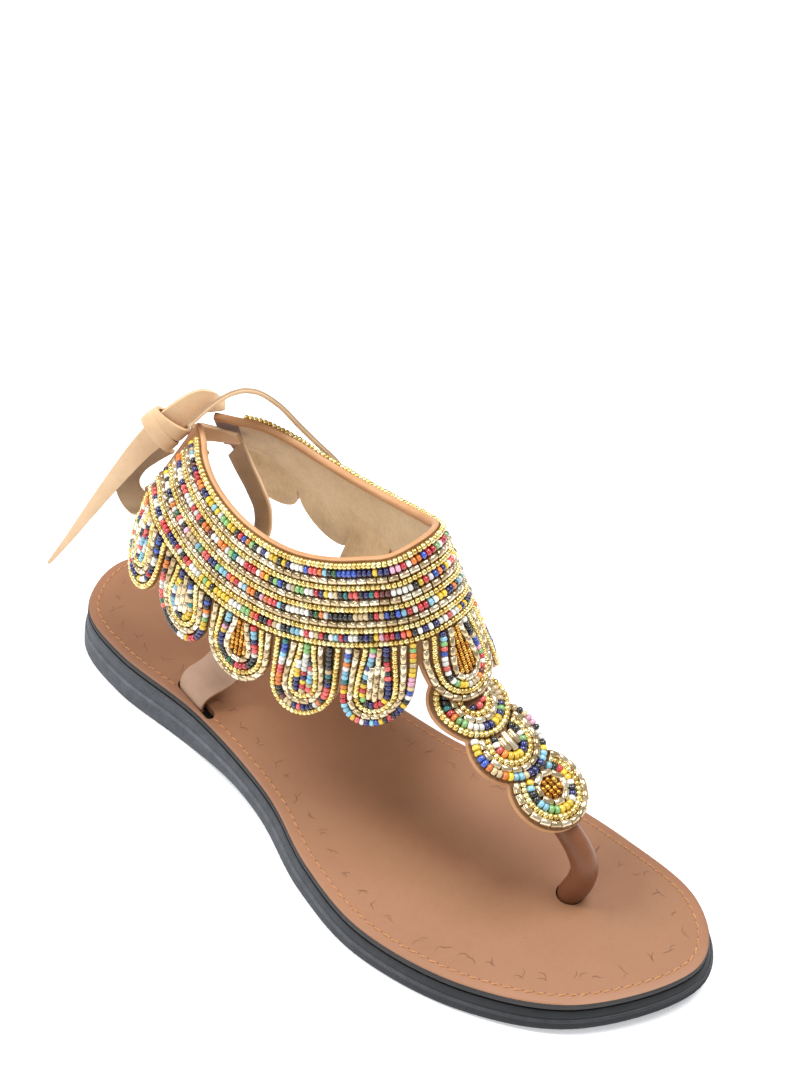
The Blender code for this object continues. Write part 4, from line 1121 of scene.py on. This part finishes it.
def tie_knot(finishes):
    """Two turns of the strip wrapped round the tail, the upper one crossing over the lower."""
    middle, axis, side = strip_frame(TIE_TAIL, DOWN_TAIL, KNOT_AT)
    out = axis.cross(side)
    around = 36
    verts, faces = [], []
    for low, high, grow, skew in KNOT_TURNS:
        first = len(verts)
        profile = ((low, -0.5), (low, 0.3), (low + KNOT_ROUND, 0.5),
                   (high - KNOT_ROUND, 0.5), (high, 0.3), (high, -0.5))
        for along, lift in profile:
            wide = KNOT_HALF_WIDE + grow + lift * TIE_THICK
            deep = KNOT_HALF_DEEP + grow + lift * TIE_THICK
            for cosine, sine in circle(around):
                spot = middle + axis * ((along + skew * cosine) * KNOT_LONG)
                spot += side * (wide * cosine) + out * (deep * sine)
                verts.append(foot_frame(*spot))
        faces += band_faces(len(profile), around, first)
        last = first + (len(profile) - 1) * around
        for index in range(around):
            beside = (index + 1) % around
            faces.append((last + index, last + beside, first + beside, first + index))
    return add_piece("tie_knot_wrap", verts, faces, finishes[:1], "tie_leather", ("tie_knot",))


def add_tie(finish):
    faces = [finish["tie"], finish["tie_back"]]
    strip("tie_bar_strip", TIE_BAR, ALONG_TABS, faces, ("tie_bar",), curl=0.0)
    knot = tie_knot(faces)
    runs = (
        # The tail swaps its two finishes, so its painted shade lies on the other side
        ("tie_tail", TIE_TAIL, DOWN_TAIL, faces[::-1], "bare", {"with_pieces": [knot]}),
        ("tie_end", TIE_END, OVER_TOP, faces, "bare", {}),
        ("tie_loop_inner", TIE_LOOP_INNER, INSIDE, faces, "object", {}),
        ("tie_loop_outer", TIE_LOOP_OUTER, OUTSIDE, faces, "object", {}),
    )
    for node, route, widths, sides, far_end, more in runs:
        piece, path = strip(f"{node}_strip", route, widths, sides, (node,), pointed=route is TIE_TAIL)
        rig.cord(piece, exit=tuple(path[0]), length=Line(path).long, diameter=TIE_WIDTH * MM, far_end=far_end,
                stiffness="stiff", lay="hanging", path=path, **more)


# Sole and insole

def add_sole(finish):
    flare, ledge = SOLE_FLARE, PARTING_GROW + PARTING_LEDGE
    seam = offset(parting, -GAP)
    verts, faces = ring_stack((
        (flare - 6.0, ground), (flare - 0.9, ground), (flare - 0.2, offset(ground, 0.35)),
        (flare, offset(ground, 1.0)), (0.5 * (flare + ledge) + 0.1, lambda x: 0.5 * (ground(x) + seam(x))),
        (ledge + 0.1, offset(seam, -0.7)), (ledge, offset(seam, -0.25)), (ledge - 0.35, offset(seam, 0.05)),
        (PARTING_GROW - 0.3, offset(seam, 0.2)), (ledge - 5.0, offset(seam, 0.05)),
    ))
    # The ledge rings take the lighter rubber, a painted highlight
    ridge = range(*RIDGE_RINGS)
    indices = [int(face // SOLE_AROUND in ridge) for face in range(len(faces))]
    add_piece("outsole_rubber", verts, faces, [finish["outsole"], finish["ridge"]],
              "outsole_rubber", ("outsole",), indices)
    rings = (
        (PARTING_GROW - 5.0, offset(parting, -0.25)), (PARTING_GROW, offset(parting, -0.25)),
        (PARTING_GROW, offset(parting, 0.5)), (0.85, lambda x: 0.5 * (parting(x) + midsole_top(x))),
        (0.5, offset(midsole_top, -0.35)), (0.2, midsole_top), (-4.0, midsole_top),
    )
    verts, faces = ring_stack(rings)
    # The midsole's top band and its two caps take the near-black rubber: painted shade for the slots and post hole
    # above it
    wall = (len(rings) - 2) * SOLE_AROUND
    indices = [0 if face < wall else 1 for face in range(len(faces))]
    add_piece("midsole_rubber", verts, faces, [finish["midsole"], finish["dark"]],
              "midsole_rubber", ("midsole",), indices)


def slot_outline(seat):
    spots = []
    steps = 8
    for end in (1.0, -1.0):
        for step in range(steps + 1):
            angle = math.pi * (step / steps - 0.5)
            along = end * 0.5 * (SLOT_LENGTH - SLOT_WIDTH + SLOT_WIDTH * math.cos(angle)) + SLOT_AHEAD
            slant = math.copysign(seat.turn, seat.side) * along
            spots.append((seat.along + along, seat.side + end * 0.5 * SLOT_WIDTH * math.sin(angle) + slant))
    return [foot_frame(along, side, 0.0).xy for along, side in spots]


def post_outline():
    base = foot_frame(*TOE_POST[0])
    return [base.xy + POST_HOLE_RADIUS * Vector(spot) for spot in circle(28)]


def add_cutter(name, outline, finish):
    verts = [to_frame((spot.x, spot.y, level)) for level in CUTTER_LEVELS for spot in outline]
    return place_mesh(name, verts, tube_faces(2, len(outline)), [finish])


def add_insole(finish):
    top, low = footbed, offset(footbed, -INSOLE_THICK)
    verts, faces = ring_stack((
        (-4.0, low), (-0.3, low), (0.1, offset(low, 0.5)), (0.15, offset(top, -0.9)),
        (-0.15, offset(top, -0.3)), (-0.8, top), (-STITCH_INSET, top), (-14.0, top),
    ))
    field, margin, cut_edge = 0, 1, 2
    indices = [cut_edge] * (4 * SOLE_AROUND) + [margin] * (2 * SOLE_AROUND) + [field] * SOLE_AROUND
    indices += [cut_edge] * SOLE_SECTIONS
    indices += [field] * (len(faces) - len(indices))
    finishes = [finish["field"], finish["margin"], finish["cut_edge"]]
    insole = add_piece("insole_leather", verts, faces, finishes, "insole_leather", ("insole",), indices)
    holes = [slot_outline(seat) for seat in STRAP_SEATS] + [post_outline()]
    cutters = [add_cutter(f"cutter_{number}", outline, finish["field"])
               for number, outline in enumerate(holes)]
    for cutter in cutters:
        carve = insole.modifiers.new(cutter.name, "BOOLEAN")
        carve.operation = "DIFFERENCE"
        carve.solver = "EXACT"
        carve.object = cutter
    done = insole.evaluated_get(bpy.context.evaluated_depsgraph_get())
    carved = bpy.data.meshes.new_from_object(done)
    insole.modifiers.clear()
    insole.data = carved
    for cutter in cutters:
        bpy.data.objects.remove(cutter, do_unlink=True)


def inset_path(inset, pitch):
    """Evenly spaced spots and directions along a line inside the insole's edge."""
    samples = 900
    line = Line([outline_point(index / samples, -inset) for index in range(samples + 1)])
    count = round(line.long / pitch)
    lengths = [line.long * (index + 0.5) / count for index in range(count)]
    return [(line.spot(length), line.run(length)) for length in lengths]


def in_slot(spot):
    """True where the thread would hang over a strap's slot."""
    along, side, _ = Matrix.Rotation(-UPPER_TURN, 3, "Z") @ Vector((spot.x, spot.y, 0.0))
    for seat in STRAP_SEATS:
        ahead = along - seat.along
        beside = side - seat.side - math.copysign(seat.turn, seat.side) * ahead
        near = abs(ahead - SLOT_AHEAD) < 0.5 * SLOT_LENGTH + SLOT_CLEAR_LONG
        if near and abs(beside) < 0.5 * SLOT_WIDTH + SLOT_CLEAR_WIDE:
            return True
    return False


def add_stitches(finish):
    """Thread showing between needle holes, drawn as flat dark spots of painted shade, each stitch a little askew."""
    rng = random.Random(STITCH_SEED)
    verts, faces, indices = [], [], []
    sections, sides, rim = 7, 6, 8
    for spot, run in inset_path(STITCH_INSET, STITCH_PITCH):
        if in_slot(spot):
            continue
        turn = math.radians(rng.uniform(*STITCH_ASKEW))
        run = Vector((run.x * math.cos(turn) - run.y * math.sin(turn),
                      run.x * math.sin(turn) + run.y * math.cos(turn)))
        side = Vector((-run.y, run.x))
        long = STITCH_LONG * rng.uniform(*STITCH_STRETCH)
        first = len(verts)
        for section in range(sections):
            share = 2.0 * section / (sections - 1) - 1.0
            full = math.sqrt(max(0.0, 1.0 - share ** 4)) * STITCH_BODY + STITCH_TIP
            centre = spot + run * (0.5 * long * share)
            sink = -STITCH_SINK * share ** 4
            for cosine, sine in circle(sides):
                point = centre + side * (0.5 * STITCH_WIDE * full * cosine)
                high = footbed(point.x) + sink + STITCH_HIGH * full * (STITCH_BED + sine * STITCH_ROUND)
                verts.append((point.x, point.y, high))
        faces += tube_faces(sections, sides, first)
        # Flat dark spot on the footbed at each needle hole: painted shade of the hole
        hole = spot + run * (0.5 * STITCH_PITCH)
        start = len(verts)
        for cosine, sine in circle(rim):
            point = hole + run * (NEEDLE_LONG * cosine) + side * (NEEDLE_WIDE * sine)
            verts.append((point.x, point.y, footbed(point.x) + NEEDLE_LIFT))
        faces.append(tuple(range(start, start + rim)))
        indices += [0] * ((sections - 1) * sides + 2) + [1]
    add_piece("insole_stitching", verts, faces, [finish["stitch"], finish["stamp"]],
              "insole_leather", indices=indices)


def ribbon_on_insole(points, wide, verts, faces):
    """Thin tapered line pressed into the insole."""
    start = len(verts)
    last = len(points) - 1
    for index, point in enumerate(points):
        run = (points[min(index + 1, last)] - points[max(index - 1, 0)]).normalized()
        side = Vector((-run.y, run.x))
        half = 0.5 * wide * math.sin(math.pi * (MARK_TAPER_START + MARK_TAPER_RUN * index / last))
        for sign in (1.0, -1.0):
            spot = point + side * (sign * half)
            verts.append((spot.x, spot.y, footbed(spot.x) + MARK_LIFT))
    for near in range(start, start + 2 * last, 2):
        faces.append((near, near + 1, near + 3, near + 2))


def add_stamped_marks(finish):
    """Row of small tool marks inside the stitching: two curved strokes that fan out from one spot."""
    rng = random.Random(MARK_SEED)
    verts, faces = [], []
    steps = 7
    for spot, run in inset_path(MARK_INSET, MARK_PITCH):
        inward = math.atan2(run.x, -run.y) + math.radians(rng.uniform(*MARK_AIM))
        spot = spot + Vector((rng.uniform(*MARK_STRAY), rng.uniform(*MARK_STRAY)))
        for fan in (-1.0, 1.0):
            heading = inward + fan * math.radians(rng.uniform(*MARK_FAN))
            curl = fan * math.radians(rng.uniform(*MARK_CURL)) / steps
            stride = MARK_LONG * rng.uniform(*MARK_STRETCH) / steps
            stroke = [spot + run * (rng.uniform(*MARK_START) * fan)]
            for _ in range(steps):
                heading += curl
                stroke.append(stroke[-1] + stride * Vector((math.cos(heading), math.sin(heading))))
            ribbon_on_insole(stroke, MARK_WIDE * rng.uniform(*MARK_THIN), verts, faces)
    add_piece("stamped_marks", verts, faces, [finish["stamp"]], "insole_leather")


# Upper

def collar_columns(collar, radius):
    """Reach, petal number and distance from that petal's middle of each column of the wall."""
    arc_steps, tab_steps = 16, 4
    left_tab = collar.half - collar.bead_half + PETAL_SHIFT
    right_tab = collar.half - collar.bead_half - PETAL_SHIFT
    columns = []
    for step in range(tab_steps):
        columns.append((-collar.half + TAB_FOLD * left_tab * step / (tab_steps - 1), None, 0.0))
    for index in range(PETALS):
        middle = collar.petal_middle(index)
        for step in range(arc_steps + 1):
            across = -radius * math.cos(math.pi * step / arc_steps)
            columns.append((middle + across, index, across))
    for step in reversed(range(tab_steps)):
        columns.append((collar.half - TAB_FOLD * right_tab * step / (tab_steps - 1), None, 0.0))
    return columns


def add_collar_wall(collar, finish):
    """Collar and petals as one sheet, in columns that hang from the top edge."""
    radius = 0.5 * (collar.pitch - PETAL_SLIT)
    band_rows, petal_rows = 12, 7
    tops = [BAND_DROP * row / band_rows for row in range(band_rows + 1)]
    tops += [BAND_DROP + 0.5 * SLIT_TOP, BAND_DROP + SLIT_TOP]
    columns = collar_columns(collar, radius)
    wall, lining, tab, edge = range(4)
    outer, inner, faces, inside, outside, place = [], [], [], [], [], {}
    for number, (reach, petal, across) in enumerate(columns):
        drops = list(tops)
        if petal is None:
            drops = [drop * TAB_DROP / tops[-1] for drop in tops]
        else:
            deep = PETAL_ROWS[petal].length - radius + math.sqrt(max(radius ** 2 - across ** 2, 0.0))
            start = drops[-1]
            for row in range(1, petal_rows + 1):
                drops.append(start + (BAND_DROP + deep - start) * row / petal_rows)
        for row, drop in enumerate(drops):
            place[number, row] = len(outer)
            outer.append(collar.point(reach, drop))
            inner.append(collar.point(reach, drop, -WALL))
    for number in range(len(columns) - 1):
        reach, petal, _ = columns[number]
        same = petal is not None and petal == columns[number + 1][1]
        facing = petal is None or abs(reach) > collar.half - TAB_FACING
        for row in range(len(tops) - 1 + (petal_rows if same else 0)):
            corners = ((number, row), (number, row + 1), (number + 1, row + 1), (number + 1, row))
            faces.append(tuple(place[corner] for corner in corners))
            inside.append(tab if facing else lining)
            outside.append(tab if petal is None else wall)
    verts, faces, rim = shell(outer, inner, faces)
    finishes = [finish[key] for key in ("wall", "lining", "tab", "edge")]
    indices = outside + inside + [edge] * rim
    add_piece("upper_collar", verts, faces, finishes, "upper_leather", ("upper",), indices, SHEET_ANGLE)


def add_binding(collar, finish):
    """Rolled leather edge along the top of the collar, lapped over its inside."""
    stations = 220
    verts = []
    for station in range(stations + 1):
        reach = collar.half * (2.0 * station / stations - 1.0) * BINDING_SHARE
        verts += [collar.point(reach, drop, lift) for drop, lift in BINDING]
    faces = flipped(tube_faces(stations + 1, len(BINDING)))
    add_piece("collar_binding", verts, faces, [finish["edge"]], "upper_leather", ("upper",))


def add_front_strap(strap, finish):
    rows, columns = 150, 10
    long = MEDALLION_ROWS[-1].at + MEDALLION_ROWS[-1].radius + MEDALLION_RIM

    def faces_at(row, column):
        q = long * row / rows
        p = strap.half_width(q) * (1.0 - 2.0 * column / columns)
        return strap.point(p, q), strap.point(p, q, -STRAP_WALL)

    finishes = [finish["wall"], finish["lining"], finish["edge"]]
    add_sheet("front_strap", rows, columns, faces_at, finishes)


def add_side_strap(seat, finish):
    rows, columns = 60, 10
    step = 0.01

    def spot(share, across):
        return side_strap_point(seat, share, across)

    def faces_at(row, column):
        share, across = row / rows, 2.0 * column / columns - 1.0
        rise = spot(min(share + step, 1.0), across) - spot(max(share - step, 0.0), across)
        run = spot(share, across + step) - spot(share, across - step)
        out = run.cross(rise).normalized() * (0.5 * STRAP_WALL)
        thin = 1.0 - 0.5 * abs(across) ** 8
        return spot(share, across) + out * thin, spot(share, across) - out * thin

    finishes = [finish["strap"], finish["lining"], finish["tab"]]
    sides = (0, 1) if seat.side < 0.0 else (1, 0)
    add_sheet(f"side_strap_{seat.name}", rows, columns, faces_at, finishes, sides)


def add_toe_post(finish):
    """Rolled leather, slimmer at the footbed, with a lapped seam down its front."""
    samples, around = 60, 28
    verts = []
    hint = Vector(POST_SEAM_SIDE)
    for index in range(samples + 1):
        place = (len(TOE_POST) - 1) * index / samples
        spot = catmull(TOE_POST, place)
        run = route_run(TOE_POST, place).normalized()
        side = (hint - run * hint.dot(run)).normalized()
        front = run.cross(side)
        swell = POST_FOOT + POST_SWELL * math.sin(math.pi * min(index / samples * POST_SWELL_PACE, 1.0))
        for corner, (cosine, sine) in enumerate(circle(around)):
            radius = POST_RADIUS * swell
            if corner == 0:
                radius -= POST_SEAM
            verts.append(foot_frame(*(spot + (side * cosine + front * sine) * radius)))
    faces = tube_faces(samples + 1, around)
    add_piece("toe_post_roll", verts, faces, [finish["post"]], "post_leather", ("toe_post",),
              smooth_angle=ROUND_ANGLE)


# Beads

class Thread(Line):
    """Line of points on the leather with outward directions."""

    def __init__(self, points, outs):
        super().__init__(points)
        self.outs = outs

    def at(self, length):
        index, share = self.find(length)
        out = self.outs[index - 1].lerp(self.outs[index], share).normalized()
        return self.spot(length), self.run(length), out


def pick_glass(rng, previous):
    """Next glass colour of a mixed row; now and then the last one runs on."""
    if previous and rng.random() < SAME_AGAIN:
        return previous
    names = list(GLASS)
    return rng.choices(names, [GLASS[name][1] for name in names])[0]


def string_beads(thread, kind_name, shrink, rng):
    kind = BEADS[kind_name]
    beads = []
    count = max(1, int(thread.long / ((kind.long + kind.gap) * shrink)))
    stretch = thread.long / count
    colour = None
    for index in range(count):
        point, axis, out = thread.at((index + 0.5) * stretch)
        colour = pick_glass(rng, colour) if kind_name == "mixed" else kind_name
        tilt = rng.uniform(-kind.tilt, kind.tilt)
        side = out.cross(axis)
        axis = (axis + side * tilt + out * rng.uniform(-BEAD_NOD, BEAD_NOD) * kind.tilt).normalized()
        wide = kind.wide * shrink * rng.uniform(*BEAD_WIDE_SPREAD)
        long = (stretch - kind.gap) * rng.uniform(*BEAD_LONG_SPREAD)
        middle = point + out * (0.5 * wide * BEAD_SEAT)
        beads.append(Bead(middle, axis, out, kind, long, wide, colour))
    return beads


def bead_template(profile):
    """Points and faces of one bead of unit length and radius about its thread."""
    points = []
    for place, radius in profile:
        points += [(place, radius * cosine, radius * sine) for cosine, sine in circle(BEAD_SIDES)]
    return numpy.array(points), flipped(tube_faces(len(profile), BEAD_SIDES))


def add_beads(name, beads, finish, slot, node):
    """All beads of one pad as a joined mesh."""
    templates = {profile: bead_template(profile) for profile in (SEED_PROFILE, BUGLE_PROFILE)}
    used = list(dict.fromkeys(bead.finish for bead in beads))
    verts, faces, indices = [], [], []
    for bead in beads:
        points, pattern = templates[bead.kind.profile]
        side = bead.up.cross(bead.axis).normalized()
        up = bead.axis.cross(side)
        turn = numpy.array((bead.axis * bead.long, side * (0.5 * bead.wide), up * (0.5 * bead.wide)))
        start = len(verts)
        verts += (points @ turn + numpy.array(bead.middle)).tolist()
        faces += [tuple(start + corner for corner in face) for face in pattern]
        indices += [used.index(bead.finish)] * len(pattern)
    add_piece(name, verts, faces, [finish[key] for key in used], slot, (node,), indices, BEAD_ANGLE)


def surface_thread(surface, flat):
    """Thread through flat spots of a surface given as surface(across, down, lift)."""
    points = [surface(across, down, 0.0) for across, down in flat]
    outs = [surface(across, down, 1.0) - point for (across, down), point in zip(flat, points)]
    return Thread(points, outs)


def add_collar_beads(collar, finish):
    rng = random.Random(COLLAR_SEED)
    samples = 260
    beads = []
    top = BAND_TOP
    for kind in BAND_ROWS:
        drop = top + 0.5 * ROW_PITCH[kind]
        reaches = [collar.bead_reach(2.0 * index / samples - 1.0, drop) for index in range(samples + 1)]
        thread = surface_thread(collar.point, [(reach, drop) for reach in reaches])
        beads += string_beads(thread, kind, 1.0, rng)
        top += ROW_PITCH[kind]
    add_beads("collar_bead_rows", beads, finish, "gold_beads", "collar_beads")


def fill_core(surface, half, core_span, kind, size, rng):
    """Upright columns of beads that fill the middle of a petal or a medallion."""
    beads = []
    steps = 12
    columns = max(1, round(2.0 * half / (BEADS[kind].wide * size)))
    for column in range(columns):
        across = (column + 0.5 - 0.5 * columns) * 2.0 * half / columns
        begin, low = core_span(across, half)
        if low - begin >= CORE_SHORTEST:
            flat = [(across, begin + (low - begin) * step / steps) for step in range(steps + 1)]
            beads += string_beads(surface_thread(surface, flat), kind, size, rng)
    return beads


def pad_beads(index, rng, radius, squeeze, size, surface, row_spots, core_span):
    """Beads of a petal or a medallion: rows from its rim inwards, then its core."""
    rows, core = PETAL_STYLES[index % len(PETAL_STYLES)]
    beads = []
    inset = 0.0
    for number, kind in enumerate(rows):
        pitch = PETAL_PITCH[kind] * squeeze
        flat = row_spots(number, radius - inset - 0.5 * pitch)
        beads += string_beads(surface_thread(surface, flat), kind, size, rng)
        inset += pitch
    return beads + fill_core(surface, radius - inset, core_span, core, size, rng)


def add_petal_beads(collar, index, finish):
    radius = 0.5 * (collar.pitch - PETAL_SLIT) - PETAL_RIM
    middle = collar.petal_middle(index)
    leg = PETAL_ROWS[index].length - PETAL_RIM - radius
    arc_steps, leg_steps = 22, 6

    def surface(across, down, lift):
        return collar.point(middle + across, BAND_DROP + down, lift)

    def row_spots(number, size):
        def leg_spot(sign, share):
            drawn_in = 1.0 - PETAL_PINCH[number] * smooth(share)
            return sign * size * drawn_in, leg + (PETAL_TOP - leg) * share

        flat = [leg_spot(-1.0, 1.0 - step / leg_steps) for step in range(leg_steps)]
        angles = [math.pi * step / arc_steps for step in range(arc_steps + 1)]
        flat += [(-math.cos(angle) * size, leg + math.sin(angle) * size) for angle in angles]
        return flat + [leg_spot(1.0, step / leg_steps) for step in range(1, leg_steps + 1)]

    def core_span(across, half):
        top = PETAL_TOP + (leg - PETAL_TOP) * CORE_TAPER * (across / half) ** 2
        return top, leg + chord(half, across) - PETAL_CORE_CLEAR

    rng = random.Random(PETAL_SEED + index)
    beads = pad_beads(index, rng, radius, 1.0, PETAL_SIZE, surface, row_spots, core_span)
    number, slot = f"{index + 1:02d}", BEAD_SLOTS[index % len(BEAD_SLOTS)]
    add_beads(f"petal_bead_rows_{number}", beads, finish, slot, f"petal_beads_{number}")


def add_medallion_beads(strap, index, finish):
    row = MEDALLION_ROWS[index]
    above = MEDALLION_ROWS[index - 1] if index else PETAL_COVER
    apart = row.at - above.at
    cover = above.radius + (MEDALLION_CLEAR if index else 0.0)
    steps = 60

    def surface(across, down, lift):
        return strap.point(across, row.at + down, lift)

    def row_spots(_, size):
        reach = (size ** 2 + apart ** 2 - cover ** 2) / (2.0 * size * apart)
        hidden = math.acos(min(max(reach, -1.0), 1.0))
        begin = hidden if index else FIRST_SHOWN * hidden
        angles = [begin + (2.0 * math.pi - hidden - begin) * step / steps for step in range(steps + 1)]
        return [(-size * math.sin(angle), -size * math.cos(angle)) for angle in angles]

    def core_span(across, half):
        low = chord(half, across) - MEDALLION_CORE_CLEAR
        return max(-low, chord(cover, across) - apart), low

    rng = random.Random(MEDALLION_SEED + index)
    beads = pad_beads(index, rng, row.radius, MEDALLION_SIZE, MEDALLION_SIZE, surface, row_spots, core_span)
    number, slot = index + 1, BEAD_SLOTS[index % len(BEAD_SLOTS)]
    add_beads(f"medallion_bead_rows_{number}", beads, finish, slot, f"medallion_beads_{number}")


def main():
    finish = make_finishes()
    collar, strap = Collar(), TStrap()
    add_camera()
    add_tie(finish)
    add_studio(finish["floor"])
    add_sole(finish)
    add_insole(finish)
    add_stitches(finish)
    add_stamped_marks(finish)
    add_collar_wall(collar, finish)
    add_binding(collar, finish)
    add_front_strap(strap, finish)
    for seat in STRAP_SEATS:
        add_side_strap(seat, finish)
    add_toe_post(finish)
    add_collar_beads(collar, finish)
    for index in range(PETALS):
        add_petal_beads(collar, index, finish)
    for index in range(MEDALLIONS):
        add_medallion_beads(strap, index, finish)
    with open("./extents.json", "w") as out:
        boxes = {"cad": CAD_BOX, "visual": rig.bounds()}
        json.dump({name: [list(corner) for corner in box] for name, box in boxes.items()}, out)


main()
